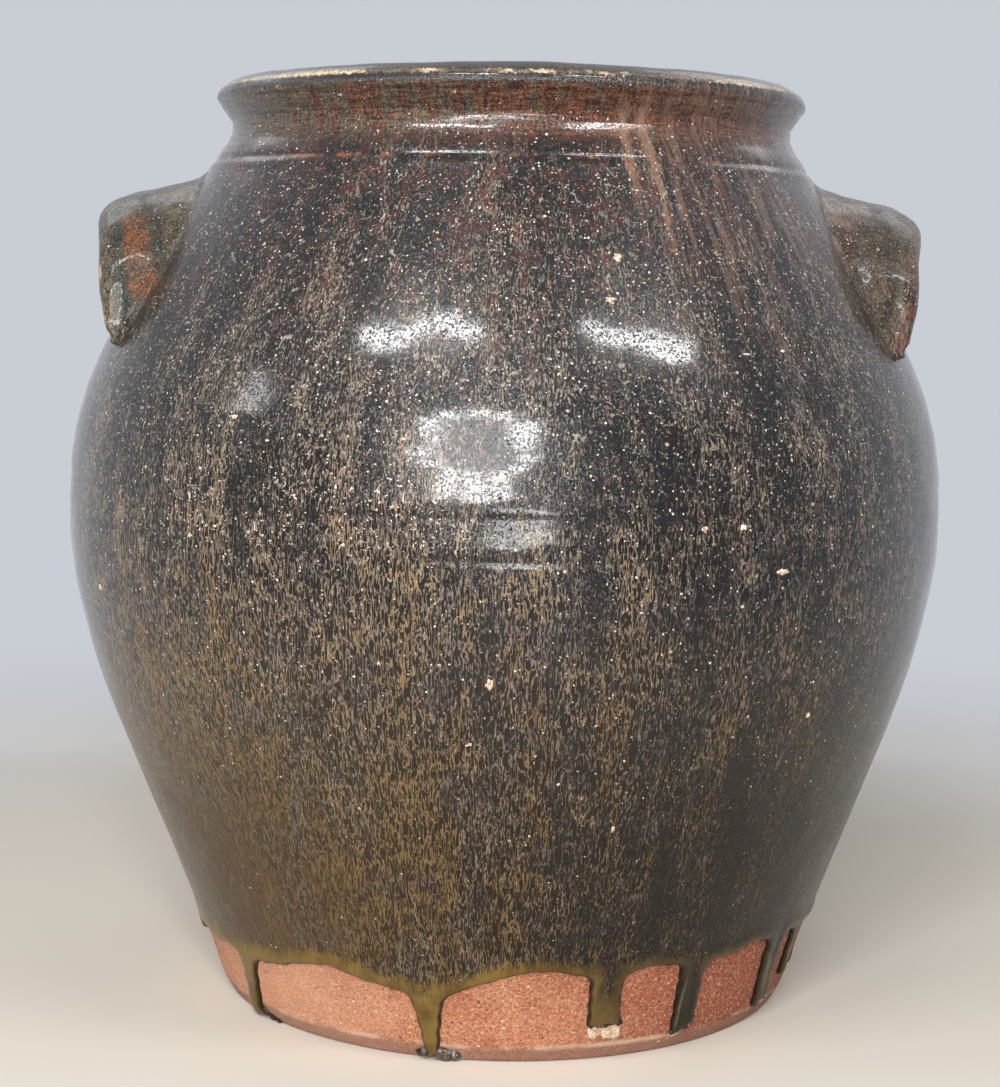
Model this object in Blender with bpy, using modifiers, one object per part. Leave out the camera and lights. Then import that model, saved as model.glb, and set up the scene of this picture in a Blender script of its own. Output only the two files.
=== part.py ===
"""Two-handled stoneware storage jar, thrown in two halves, with slab lugs and a runny glaze coat.

Run with: blender --background --python part.py
Metres, +Z up. The origin is the centre of the foot, on the surface that the jar stands on.
The lugs lie along +X and -X.
"""
import math

import bmesh
import bpy

# Overall sizes. The neck and the shoulder's top hang down from the jar's height
JAR_HEIGHT = 0.367
BELLY_RADIUS = 0.1755
BELLY_HEIGHT = 0.196
FOOT_RADIUS = 0.1185
FOOT_CHAMFER = 0.0035
FOOT_CHAMFER_HEIGHT = 0.006
LIP_RISE = 0.019
NECK_RISE = 0.012
NECK_RADIUS = 0.1108
NECK_HEIGHT = JAR_HEIGHT - LIP_RISE
SHOULDER_TOP_RADIUS = 0.117
SHOULDER_TOP_HEIGHT = NECK_HEIGHT - NECK_RISE
LIP_RADIUS = 0.1173
LIP_WIDTH = 0.014
LIP_DEPTH = 0.0062

# Clay thickness, and the height of the joint between the two thrown halves
WALL = 0.009
FOOT_WALL = 0.013
FLOOR = 0.012
FLOOR_FILLET = 0.016
LUTE_RISE = 0.0075
LUTE_HEIGHT = BELLY_HEIGHT + LUTE_RISE
LUTE_BEVEL = 0.003

# Glaze: the coat's thickness, its clearance to the clay, and its scalloped lower edge
COAT = 0.001
GAP = 0.0003
GLAZE_STEP = GAP + COAT
GLAZE_EDGE_HEIGHT = 0.036
RUN_WIDTH = 0.010
RUN_REACH = 0.002
CUT_OVERRUN = 0.005

# Lug handles: a slab bent into an arch, with a finger recess under it, set down from the shoulder
LUG_WIDTH = 0.130
LUG_SET_DOWN = 0.0095
LUG_RISE = 0.0625
LUG_TOP_HEIGHT = SHOULDER_TOP_HEIGHT - LUG_SET_DOWN
LUG_BOTTOM_HEIGHT = LUG_TOP_HEIGHT - LUG_RISE
LUG_THICKNESS = 0.012
LUG_PROJECTION = 0.0445
LUG_END_PROJECTION = 0.004
LUG_EDGE_DRAFT = 0.003
LUG_DROOP = 0.008
LUG_EMBED = 0.007
LUG_GAP = 0.0004
LUG_ARCH_POWER = 2.6

# Bezier handles of the wall curves, as shares of each curve's change in radius and in height
LOWER_HANDLE_SHARES = ((0.395, 0.397), (1.0, 0.688))
UPPER_HANDLE_SHARES = ((0.0, 0.310), (0.132, 0.436))
NECK_HANDLE_SHARES = ((0.435, 0.35), (1.0, 0.667))
FLARE_HANDLE_SHARES = ((0.0, 0.30), (0.77, 0.70))

# The lip's section from its widest point over the crest to the inside, as shares of the lip's
# width inwards and of its depth down from the crest
LIP_SHARES = ((0.0, 1.0), (0.06, 0.60), (0.30, 0.22), (0.55, 0.0), (0.80, 0.18), (1.0, 0.90))
CREST_INDEX = 3

# The lug's section: share of the slab's projection, share of half its thickness
LUG_SECTION_SHARES = (
    (0.0, 1.20), (0.20, 1.0), (0.36, 0.78), (0.52, 0.96), (0.68, 0.76), (0.86, 0.90), (1.0, 0.42),
    (1.0, -0.42), (0.84, -0.88), (0.40, -1.0), (0.0, -1.15),
)

# Runs of glaze round the foot, in order from the front towards +X: share of a turn, share of the
# run width, height of the run's tip and of the bare panel after it, as shares of the glaze edge
# height, and where along that panel its top lies
RUN_SHARES = (
    (0.050, 1.30, 0.35, 1.03, 0.55),
    (0.096, 1.05, 0.24, 1.00, 0.62),
    (0.157, 1.00, 0.22, 0.92, 0.50),
    (0.184, 0.60, 0.50, 0.98, 0.50),
    (0.243, 0.95, 0.16, 0.94, 0.42),
    (0.300, 1.20, 0.40, 1.06, 0.58),
    (0.352, 0.80, 0.05, 0.90, 0.47),
    (0.428, 1.10, 0.28, 1.04, 0.60),
    (0.489, 0.70, 0.55, 0.97, 0.40),
    (0.541, 1.25, 0.14, 1.08, 0.52),
    (0.607, 0.90, 0.34, 0.93, 0.45),
    (0.668, 1.10, 0.05, 1.00, 0.60),
    (0.722, 0.75, 0.46, 1.05, 0.50),
    (0.781, 1.00, 0.20, 0.82, 0.40),
    (0.850, 0.66, 0.05, 0.92, 0.56),
    (0.9644, 0.92, 0.05, 1.07, 0.66),
)
# Points along each panel, as shares of its half width from the panel's middle, and the power of
# the rounded arch that it makes
PANEL_POINT_SHARES = (-1.0, -0.93, -0.64, -0.15, 0.38, 0.78, 1.0)
PANEL_ARCH_POWER = 4.0

# Facets
TURN_STEPS = 40
CURVE_SAMPLES = 200
LOWER_ROW_COUNT = 6
UPPER_ROW_COUNT = 7
NECK_ROW_COUNT = 2
FLARE_ROW_COUNT = 3
FILLET_ROW_COUNT = 2
LUG_STATIONS = 14
MERGE_DISTANCE = 0.0001
SMOOTH_ANGLE = math.radians(35.0)

# A corner's mitre is never let out further than this share allows
LEAST_MITRE_SHARE = 0.5

CLAY_COLOR = (0.42, 0.17, 0.10, 1.0)
GLAZE_COLOR = (0.035, 0.024, 0.014, 1.0)
LINING_COLOR = (0.060, 0.035, 0.018, 1.0)
CLAY_ROUGHNESS = 0.85
GLAZE_ROUGHNESS = 0.18
LINING_ROUGHNESS = 0.25


def clear_scene():
    for item in list(bpy.data.objects):
        bpy.data.objects.remove(item, do_unlink=True)


def new_collection(name):
    group = bpy.data.collections.new(name)
    bpy.context.scene.collection.children.link(group)
    return group


def new_material(name, color, roughness):
    material = bpy.data.materials.new(name)
    material.use_nodes = True
    shader = material.node_tree.nodes["Principled BSDF"]
    shader.inputs["Base Color"].default_value = color
    shader.inputs["Roughness"].default_value = roughness
    shader.inputs["Metallic"].default_value = 0.0
    material.diffuse_color = color
    return material


def bezier(start, first, second, end, samples):
    """Points of a cubic Bezier curve, both ends included."""
    points = []
    for index in range(samples + 1):
        t = index / samples
        weights = ((1 - t) ** 3, 3 * t * (1 - t) ** 2, 3 * t * t * (1 - t), t ** 3)
        corners = (start, first, second, end)
        points.append(tuple(sum(w * c[axis] for w, c in zip(weights, corners)) for axis in (0, 1)))
    return points


def handled_curve(start, end, handle_shares, samples):
    """A Bezier curve whose handles are shares of the way from its start to its end."""
    handles = [
        (start[0] + across * (end[0] - start[0]), start[1] + up * (end[1] - start[1]))
        for across, up in handle_shares
    ]
    return bezier(start, handles[0], handles[1], end, samples)


def evenly(points, count):
    """The same polyline with count equal stretches, both ends kept."""
    lengths = [0.0]
    for a, b in zip(points, points[1:]):
        lengths.append(lengths[-1] + math.dist(a, b))
    result = []
    stretch = 0
    for index in range(count + 1):
        target = lengths[-1] * index / count
        while stretch < len(points) - 2 and lengths[stretch + 1] < target:
            stretch += 1
        span = lengths[stretch + 1] - lengths[stretch]
        t = (target - lengths[stretch]) / span
        a, b = points[stretch], points[stretch + 1]
        result.append(tuple(p + t * (q - p) for p, q in zip(a, b)))
    return result


def offset_line(points, distances):
    """Move each point square to the line, to the right of its direction for a positive distance."""
    result = []
    for index, point in enumerate(points):
        before = points[max(index - 1, 0)]
        after = points[min(index + 1, len(points) - 1)]
        directions = []
        for a, b in ((before, point), (point, after)):
            length = math.dist(a, b)
            if length > 0:
                directions.append(((b[0] - a[0]) / length, (b[1] - a[1]) / length))
        along = (sum(d[0] for d in directions), sum(d[1] for d in directions))
        size = math.hypot(along[0], along[1])
        along = (along[0] / size, along[1] / size)
        spread = max(along[0] * directions[0][0] + along[1] * directions[0][1], LEAST_MITRE_SHARE)
        distance = distances[index] / spread
        result.append((point[0] + along[1] * distance, point[1] - along[0] * distance))
    return result


def shift_line(points, distance):
    return offset_line(points, [distance] * len(points))


# Outlines of the clay, in radius and height. Each wall runs upwards, so that positive is outwards.
CREST_HEIGHT = JAR_HEIGHT - GLAZE_STEP
LIP_HEIGHT = CREST_HEIGHT - LIP_DEPTH
LOWER_CURVE = handled_curve(
    (FOOT_RADIUS, FOOT_CHAMFER_HEIGHT), (BELLY_RADIUS, BELLY_HEIGHT), LOWER_HANDLE_SHARES, CURVE_SAMPLES)
UPPER_CURVE = handled_curve(
    (BELLY_RADIUS, BELLY_HEIGHT), (SHOULDER_TOP_RADIUS, SHOULDER_TOP_HEIGHT), UPPER_HANDLE_SHARES,
    CURVE_SAMPLES)
NECK_CURVE = handled_curve(
    (SHOULDER_TOP_RADIUS, SHOULDER_TOP_HEIGHT), (NECK_RADIUS, NECK_HEIGHT), NECK_HANDLE_SHARES,
    CURVE_SAMPLES)
FLARE_CURVE = handled_curve(
    (NECK_RADIUS, NECK_HEIGHT), (LIP_RADIUS, LIP_HEIGHT), FLARE_HANDLE_SHARES, CURVE_SAMPLES)
WALL_CURVE = LOWER_CURVE + UPPER_CURVE[1:]


def point_at_height(curve, height):
    for a, b in zip(curve, curve[1:]):
        if a[1] <= height <= b[1]:
            t = (height - a[1]) / (b[1] - a[1])
            return (a[0] + t * (b[0] - a[0]), height)
    return curve[0] if height < curve[0][1] else curve[-1]


def wall_radius(height):
    return point_at_height(WALL_CURVE, height)[0]


def part_below(curve, height):
    return [p for p in curve if p[1] < height] + [point_at_height(curve, height)]


def part_above(curve, height):
    return [point_at_height(curve, height)] + [p for p in curve if p[1] > height]


def lower_outline():
    """Outer face of the lower half, from the foot's edge to the joint."""
    curve = evenly(part_below(WALL_CURVE, LUTE_HEIGHT), LOWER_ROW_COUNT)
    return [(FOOT_RADIUS - FOOT_CHAMFER, 0.0)] + curve


def upper_outline():
    """Outer face of the upper half, from the joint to the lip's widest point."""
    wall = evenly(part_above(WALL_CURVE, LUTE_HEIGHT), UPPER_ROW_COUNT)
    neck = evenly(NECK_CURVE, NECK_ROW_COUNT)
    flare = evenly(FLARE_CURVE, FLARE_ROW_COUNT)
    return wall + neck[1:] + flare[1:]


def lip_outline():
    """The lip from its widest point over the crest to the inside of the neck."""
    return [
        (LIP_RADIUS - inwards * LIP_WIDTH, CREST_HEIGHT - down * LIP_DEPTH)
        for inwards, down in LIP_SHARES
    ]


def wall_thickness(height):
    """The wall thickens from the belly down to the foot."""
    share = min(max((BELLY_HEIGHT - height) / BELLY_HEIGHT, 0.0), 1.0)
    return WALL + (FOOT_WALL - WALL) * share ** 2


def inner_lower_outline():
    """Inner face of the lower half, from the floor's centre to the joint."""
    outer = lower_outline()[1:]
    wall = offset_line(outer, [-wall_thickness(p[1]) for p in outer])
    wall[-1] = (wall[-1][0], LUTE_HEIGHT)
    fillet_top = FLOOR + FLOOR_FILLET
    wall = part_above(wall, fillet_top)
    corner_radius = wall[0][0] - FLOOR_FILLET
    fillet = []
    for index in range(FILLET_ROW_COUNT):
        angle = math.pi / 2 * index / FILLET_ROW_COUNT
        fillet.append((
            corner_radius + FLOOR_FILLET * math.sin(angle),
            fillet_top - FLOOR_FILLET * math.cos(angle)))
    return [(0.0, FLOOR)] + fillet + wall


def inner_upper_outline():
    """Inner face of the upper half, from the joint to the neck, where the lip's own section starts."""
    outer = upper_outline()
    inner = shift_line(outer, -WALL)
    inner[0] = (inner_lower_outline()[-1][0], LUTE_HEIGHT)
    return [p for p in inner if p[1] < NECK_HEIGHT + GAP]


def profile_mesh(name, points, closed):
    mesh = bpy.data.meshes.new(name)
    edges = [(index, index + 1) for index in range(len(points) - 1)]
    if closed:
        edges.append((len(points) - 1, 0))
    mesh.from_pydata([(radius, 0.0, height) for radius, height in points], edges, [])
    return mesh


def add_object(name, mesh, group, material=None):
    item = bpy.data.objects.new(name, mesh)
    group.objects.link(item)
    if material:
        mesh.materials.append(material)
    return item


def add_turned(name, points, group, material=None, closed=False):
    """Turn a profile about the jar's axis. It runs down its outer side."""
    item = add_object(name, profile_mesh(name, points, closed), group, material)
    screw = item.modifiers.new("turn", "SCREW")
    screw.axis = "Z"
    screw.angle = math.tau
    screw.steps = TURN_STEPS
    screw.render_steps = TURN_STEPS
    screw.use_merge_vertices = True
    screw.merge_threshold = MERGE_DISTANCE
    screw.use_smooth_shade = True
    return item


def add_cut(item, cutter):
    cut = item.modifiers.new("cut_" + cutter.name, "BOOLEAN")
    cut.operation = "DIFFERENCE"
    cut.solver = "EXACT"
    cut.object = cutter


def hide_cutter(item):
    item.hide_render = True
    item.display_type = "WIRE"
    return item


def loft(name, sections, group, material=None, closed=False, swell=0.0):
    """Skin a row of sections of equal count; an open row gets flat ends. It can be swollen evenly."""
    builder = bmesh.new()
    rings = [[builder.verts.new(point) for point in section] for section in sections]
    pairs = list(zip(rings, rings[1:]))
    if closed:
        pairs.append((rings[-1], rings[0]))
    for first, second in pairs:
        count = len(first)
        for index in range(count):
            after = (index + 1) % count
            builder.faces.new((first[index], first[after], second[after], second[index]))
    if not closed:
        builder.faces.new(rings[0])
        builder.faces.new(rings[-1])
    bmesh.ops.recalc_face_normals(builder, faces=builder.faces)
    bmesh.ops.triangulate(builder, faces=builder.faces, quad_method="FIXED")
    builder.normal_update()
    shifts = [corner.normal * swell * corner.calc_shell_factor() for corner in builder.verts]
    for corner, shift in zip(builder.verts, shifts):
        corner.co += shift
    mesh = bpy.data.meshes.new(name)
    builder.to_mesh(mesh)
    builder.free()
    mesh.shade_smooth()
    mesh.set_sharp_from_angle(angle=SMOOTH_ANGLE)
    return add_object(name, mesh, group, material)


def glaze_edge_points():
    """The glaze's lower edge round the jar, as turn angles and heights."""
    edge_radius = wall_radius(GLAZE_EDGE_HEIGHT)
    points = []
    for index, (turn, width, tip, top, peak) in enumerate(RUN_SHARES):
        following = RUN_SHARES[(index + 1) % len(RUN_SHARES)]
        next_turn = following[0] + (1.0 if index == len(RUN_SHARES) - 1 else 0.0)
        half_run = width * RUN_WIDTH / 2 / edge_radius
        next_half = following[1] * RUN_WIDTH / 2 / edge_radius
        centre = turn * math.tau
        start = centre + half_run
        end = next_turn * math.tau - next_half
        points.append((centre, tip * GLAZE_EDGE_HEIGHT))
        left_height = tip * GLAZE_EDGE_HEIGHT + half_run * edge_radius / 2
        right_height = following[2] * GLAZE_EDGE_HEIGHT + next_half * edge_radius / 2
        for share in PANEL_POINT_SHARES:
            foot = left_height if share < 0 else right_height
            rise = (1 - abs(share) ** PANEL_ARCH_POWER) ** (1 / PANEL_ARCH_POWER)
            along = ((share + 1) / 2) ** (math.log(peak) / math.log(0.5))
            points.append((start + along * (end - start), foot + (top * GLAZE_EDGE_HEIGHT - foot) * rise))
    return points


def glaze_edge_cutter(group):
    """Ring that takes away the coat below its scalloped edge."""
    inner = FOOT_RADIUS - FOOT_WALL
    sections = []
    for angle, height in glaze_edge_points():
        across = (math.sin(angle), -math.cos(angle))
        corners = (
            (inner, -CUT_OVERRUN), (BELLY_RADIUS, -CUT_OVERRUN), (BELLY_RADIUS, height), (inner, height))
        sections.append([(r * across[0], r * across[1], z) for r, z in corners])
    return hide_cutter(loft("glaze_edge_cutter", sections, group, closed=True))


def lug_arch():
    """Middle line of the lug's slab, seen from outside: stations from foot to foot over the top."""
    half_width = (LUG_WIDTH - LUG_THICKNESS) / 2
    rise = LUG_TOP_HEIGHT - LUG_THICKNESS / 2 - LUG_BOTTOM_HEIGHT
    power = 2 / LUG_ARCH_POWER
    dense = []
    for index in range(CURVE_SAMPLES + 1):
        angle = math.pi * index / CURVE_SAMPLES
        cosine = math.cos(angle)
        side = -math.copysign(abs(cosine) ** power, cosine) * half_width
        dense.append((side, LUG_BOTTOM_HEIGHT + rise * abs(math.sin(angle)) ** power))
    return evenly(dense, LUG_STATIONS)


def lug_reach(height):
    """Radius of the lug's outer edge. It draws in towards the feet and stays proud of the wall."""
    full = wall_radius(LUG_TOP_HEIGHT) + LUG_PROJECTION
    share = min(max((LUG_TOP_HEIGHT - height) / (LUG_TOP_HEIGHT - LUG_BOTTOM_HEIGHT), 0.0), 1.0)
    return max(full - LUG_EDGE_DRAFT * share ** 2, wall_radius(height) + LUG_END_PROJECTION)


def lug_section(side, height, normal, depths):
    """One section of the slab, square to the arch, with its root at the given depths in the wall."""
    root = math.sqrt(wall_radius(height) ** 2 - side ** 2)
    reach = math.sqrt(lug_reach(height) ** 2 - side ** 2)
    slope = LUG_DROOP / LUG_PROJECTION
    relief = min(2 * (reach - root) / LUG_PROJECTION, 1.0)
    places = [(root - depth, LUG_SECTION_SHARES[0][1]) for depth in depths]
    places += [(root + out * (reach - root), thick) for out, thick in LUG_SECTION_SHARES]
    places += [(root - depth, LUG_SECTION_SHARES[-1][1]) for depth in depths[::-1]]
    section = []
    for x, thick in places:
        face = math.copysign(1.0, thick)
        lift = (face + (thick - face) * relief) * LUG_THICKNESS / 2
        section.append((x, side + normal[0] * lift, height + normal[1] * lift - slope * (x - root)))
    return section


def add_lug_shape(name, swell, group, material=None, depths=(LUG_EMBED,)):
    """The lug on the +X side. Its root reaches into the wall, which is cut away later."""
    arch = lug_arch()
    sections = []
    for index, (side, height) in enumerate(arch):
        before = arch[max(index - 1, 0)]
        after = arch[min(index + 1, len(arch) - 1)]
        length = math.dist(before, after)
        normal = ((before[1] - after[1]) / length, (after[0] - before[0]) / length)
        sections.append(lug_section(side, height, normal, depths))
    return loft(name, sections, group, material, swell=swell)


def build():
    clear_scene()
    jar = new_collection("storage_jar")
    cutters = new_collection("cutters")
    clay = new_material("bare_clay", CLAY_COLOR, CLAY_ROUGHNESS)
    glaze = new_material("dark_glaze", GLAZE_COLOR, GLAZE_ROUGHNESS)
    lining = new_material("glaze_lining", LINING_COLOR, LINING_ROUGHNESS)

    lower, upper, lip = lower_outline(), upper_outline(), lip_outline()
    inner_lower, inner_upper = inner_lower_outline(), inner_upper_outline()
    joint_outer, joint_inner = lower[-1], inner_lower[-1]

    # The joint slopes down inwards, and the upper half sits on it with the usual gap
    lower_loop = (
        inner_lower[:-1] + [(joint_inner[0], joint_inner[1] - LUTE_BEVEL)] + lower[::-1] + [(0.0, 0.0)])
    add_turned("lower_wall", lower_loop, jar, clay)
    seat = [(joint_inner[0], joint_inner[1] - LUTE_BEVEL + GAP)]
    brim = [(joint_outer[0], joint_outer[1] + GAP)]
    upper_loop = seat + inner_upper[1:] + lip[1:][::-1] + upper[1:][::-1] + brim
    add_turned("upper_wall", upper_loop, jar, clay, closed=True)

    # Coats: an open surface a hair off the clay, thickened away from it
    crest = lip[CREST_INDEX]
    outer_face = lower[1:-1] + upper + lip[1:CREST_INDEX] + [(crest[0] + GAP, crest[1])]
    run_foot = point_at_height([lower[0], lower[1]], RUN_REACH)
    outer_line = shift_line([run_foot] + outer_face, GAP)[::-1]
    inner_face = inner_lower[:-1] + inner_upper + lip[CREST_INDEX + 1:][::-1] + [(crest[0] - GAP, crest[1])]
    inner_line = shift_line(inner_face, -GAP)
    inner_line[0] = (0.0, FLOOR + GAP)
    outer_coat = add_turned("outer_glaze", outer_line, jar, glaze)
    inner_coat = add_turned("inner_glaze", inner_line, jar, lining)
    for coat in (outer_coat, inner_coat):
        shell = coat.modifiers.new("thickness", "SOLIDIFY")
        shell.thickness = COAT
        shell.offset = 1.0
        shell.use_even_offset = True
    add_cut(outer_coat, glaze_edge_cutter(cutters))

    # The envelope of the wall, which shapes each lug's seat
    envelope_line = [(0.0, SHOULDER_TOP_HEIGHT + CUT_OVERRUN)]
    envelope_line += shift_line(lower[1:-1] + upper[:UPPER_ROW_COUNT + 1], GAP)[::-1] + [(0.0, 0.0)]
    envelope = hide_cutter(add_turned("wall_envelope", envelope_line, cutters))

    for side, turn in (("right", 0.0), ("left", math.pi)):
        lug = add_lug_shape("lug_" + side, 0.0, jar, clay)
        coat = add_lug_shape("lug_" + side + "_glaze", LUG_GAP + COAT, jar, glaze)
        core_depths = (2 * LUG_EMBED, LUG_EMBED)
        core = hide_cutter(add_lug_shape("lug_core_" + side, LUG_GAP, cutters, depths=core_depths))
        window = hide_cutter(add_lug_shape("lug_window_" + side, LUG_GAP + COAT + GAP, cutters))
        for item in (lug, coat, core, window):
            item.rotation_euler.z = turn
        add_cut(coat, core)
        add_cut(outer_coat, window)
        for item in (lug, coat):
            add_cut(item, envelope)


build()
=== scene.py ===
"""Looks of the two-handled stoneware storage jar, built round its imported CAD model.

Lengths are in millimetres inside the shape code and become metres where a mesh is made. Angles
round the jar are in degrees from the front, -Y, towards +X.
"""
import math

import bmesh
import bpy
import numpy as np
from mathutils import Euler, Matrix, Vector, noise


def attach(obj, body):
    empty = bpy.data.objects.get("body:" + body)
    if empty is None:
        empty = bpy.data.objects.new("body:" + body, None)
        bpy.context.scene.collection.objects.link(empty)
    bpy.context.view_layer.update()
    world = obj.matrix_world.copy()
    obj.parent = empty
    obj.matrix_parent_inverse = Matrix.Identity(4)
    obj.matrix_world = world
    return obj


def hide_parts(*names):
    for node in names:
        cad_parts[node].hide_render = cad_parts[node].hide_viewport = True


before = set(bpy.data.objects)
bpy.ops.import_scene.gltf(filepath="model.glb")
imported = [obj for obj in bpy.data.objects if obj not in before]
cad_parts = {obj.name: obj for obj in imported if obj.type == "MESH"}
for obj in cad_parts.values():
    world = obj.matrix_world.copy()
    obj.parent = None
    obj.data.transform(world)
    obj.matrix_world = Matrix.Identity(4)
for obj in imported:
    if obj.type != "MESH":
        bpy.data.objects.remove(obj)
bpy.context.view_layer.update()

MM = 0.001

# The clay's outline, as in the part's source
JAR_HEIGHT, LIP_RISE, NECK_RISE = 367.0, 19.0, 12.0
FOOT_RADIUS, FOOT_CHAMFER, FOOT_CHAMFER_HEIGHT = 118.5, 3.5, 6.0
BELLY_RADIUS, BELLY_HEIGHT = 175.5, 196.0
SHOULDER_TOP_RADIUS, NECK_RADIUS = 117.0, 110.8
LIP_RADIUS, LIP_WIDTH, LIP_DEPTH = 117.3, 14.0, 6.2
WALL, FOOT_WALL, FLOOR, FLOOR_FILLET, LUTE_HEIGHT = 9.0, 13.0, 12.0, 16.0, 203.5
GLAZE_STEP = 1.3
NECK_HEIGHT = JAR_HEIGHT - LIP_RISE
SHOULDER_TOP_HEIGHT = NECK_HEIGHT - NECK_RISE
CREST_HEIGHT = JAR_HEIGHT - GLAZE_STEP
LIP_HEIGHT = CREST_HEIGHT - LIP_DEPTH
LOWER_HANDLES = ((0.395, 0.397), (1.0, 0.688))
UPPER_HANDLES = ((0.0, 0.310), (0.132, 0.436))
NECK_HANDLES = ((0.435, 0.35), (1.0, 0.667))
FLARE_HANDLES = ((0.0, 0.30), (0.77, 0.70))
LIP_SHARES = ((0.0, 1.0), (0.06, 0.60), (0.30, 0.22), (0.55, 0.0), (0.80, 0.18), (1.0, 0.90))

# The lugs
LUG_WIDTH, LUG_THICKNESS, LUG_PROJECTION, LUG_DROOP = 130.0, 12.0, 44.5, 8.0
LUG_TOP, LUG_BOTTOM, LUG_END_PROJECTION, LUG_EDGE_DRAFT = 326.5, 264.0, 4.0, 3.0
LUG_ARCH_POWER = 2.6

# Meshes
COLUMNS = 360
EDGE_COLUMNS = 720
EDGE_TOP = 44.0
EDGE_ROW = 0.88
LIFT = 1.1
MOST_RADIUS = 176.68
MOST_HEIGHT = 366.9


def bezier(start, end, shares, samples=200):
    """Points of a curve whose two handles are shares of the way from start to end."""
    start, end = np.array(start), np.array(end)
    first, second = (start + np.array(s) * (end - start) for s in shares)
    t = np.linspace(0, 1, samples + 1)[:, None]
    return (1 - t) ** 3 * start + 3 * t * (1 - t) ** 2 * first + 3 * t * t * (1 - t) * second + t ** 3 * end


def spline(points, samples=12):
    """A smooth curve through points."""
    p = np.array(points, float)
    p = np.vstack([2 * p[0] - p[1], p, 2 * p[-1] - p[-2]])
    t = np.linspace(0, 1, samples, endpoint=False)[:, None]
    pieces = []
    for a, b, c, d in zip(p, p[1:], p[2:], p[3:]):
        pieces.append(0.5 * (2 * b + (c - a) * t + (2 * a - 5 * b + 4 * c - d) * t ** 2
                             + (3 * b - a - 3 * c + d) * t ** 3))
    return np.vstack(pieces + [p[-2:-1]])


def joined(*curves):
    """The curves end to end, without doubled points."""
    line = np.vstack(curves)
    far = np.r_[True, np.linalg.norm(np.diff(line, axis=0), axis=1) > 1e-4]
    return line[far]


def lengths(line):
    return np.r_[0, np.cumsum(np.linalg.norm(np.diff(line, axis=0), axis=1))]


def at_lengths(line, places):
    along = lengths(line)
    return np.stack([np.interp(places, along, line[:, k]) for k in (0, 1)], 1)


def stepped(line, step):
    """The line in stretches whose length the function step gives at each height."""
    along, places = lengths(line), [0.0]
    while places[-1] < along[-1]:
        z = float(np.interp(places[-1], along, line[:, 1]))
        places.append(places[-1] + step(z))
    places = np.array(places) * along[-1] / places[-1]
    return at_lengths(line, places)


def normals(line):
    """Unit normals to the right of the line's direction: outwards for an outer wall that runs up."""
    way = np.gradient(line, axis=0)
    way /= np.linalg.norm(way, axis=1)[:, None]
    return np.stack([way[:, 1], -way[:, 0]], 1)


def smooth(x, low, high):
    t = np.clip((np.asarray(x, float) - low) / (high - low), 0, 1)
    return t * t * (3 - 2 * t)


def bell(x, middle, width):
    return np.exp(-((np.asarray(x, float) - middle) / width) ** 2)


BELLY = (BELLY_RADIUS, BELLY_HEIGHT)
SHOULDER_TOP = (SHOULDER_TOP_RADIUS, SHOULDER_TOP_HEIGHT)
NECK = (NECK_RADIUS, NECK_HEIGHT)
WALL_LINE = joined(bezier((FOOT_RADIUS, FOOT_CHAMFER_HEIGHT), BELLY, LOWER_HANDLES),
                   bezier(BELLY, SHOULDER_TOP, UPPER_HANDLES))
NECK_LINE = joined(bezier(SHOULDER_TOP, NECK, NECK_HANDLES),
                   bezier(NECK, (LIP_RADIUS, LIP_HEIGHT), FLARE_HANDLES))
LIP_LINE = spline([(LIP_RADIUS - inwards * LIP_WIDTH, CREST_HEIGHT - down * LIP_DEPTH)
                   for inwards, down in LIP_SHARES] + [(102.0, 357.5)])
CLAY_LINE = joined([(FOOT_RADIUS - FOOT_CHAMFER, 0.0), (FOOT_RADIUS, FOOT_CHAMFER_HEIGHT)],
                   WALL_LINE, NECK_LINE, LIP_LINE)


def clay_radius(z):
    """Radius of the clay outside, up to the lip's widest point."""
    line = joined(CLAY_LINE[:2], WALL_LINE, NECK_LINE)
    return np.interp(z, line[:, 1], line[:, 0])


# The lower edge of the glaze: the top of the bare panels, angle and height, all round
PANEL_TOPS = (
    (-63.7, 27), (-58, 28.5), (-54, 27.5), (-48, 27.5), (-43.6, 28.4), (-38, 31.5), (-32.6, 34),
    (-29.2, 33.9), (-25.4, 31.9), (-22.4, 30.4), (-18.4, 29.0), (-13, 28), (-8.9, 28.5), (-5.5, 31.8),
    (-2.1, 34.9), (0.8, 36.7), (3, 38.4), (6.2, 39.4), (9.7, 38.4), (14, 37), (21.4, 37), (24, 38.3),
    (27, 38.6), (31, 37.5), (37.9, 36.6), (43, 37.5), (47, 39.2), (53, 38.5), (60, 37.5), (68, 36.5),
    (76, 35), (88, 32), (96, 34), (108, 38), (116, 34), (127, 31), (140, 36), (154, 37.5), (165, 33),
    (176, 36), (186, 38), (196, 35), (206, 31), (217, 34.5), (228, 30), (240, 34), (251, 37),
    (260, 34), (270, 30), (281, 29.5), (290, 28),
)
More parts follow.
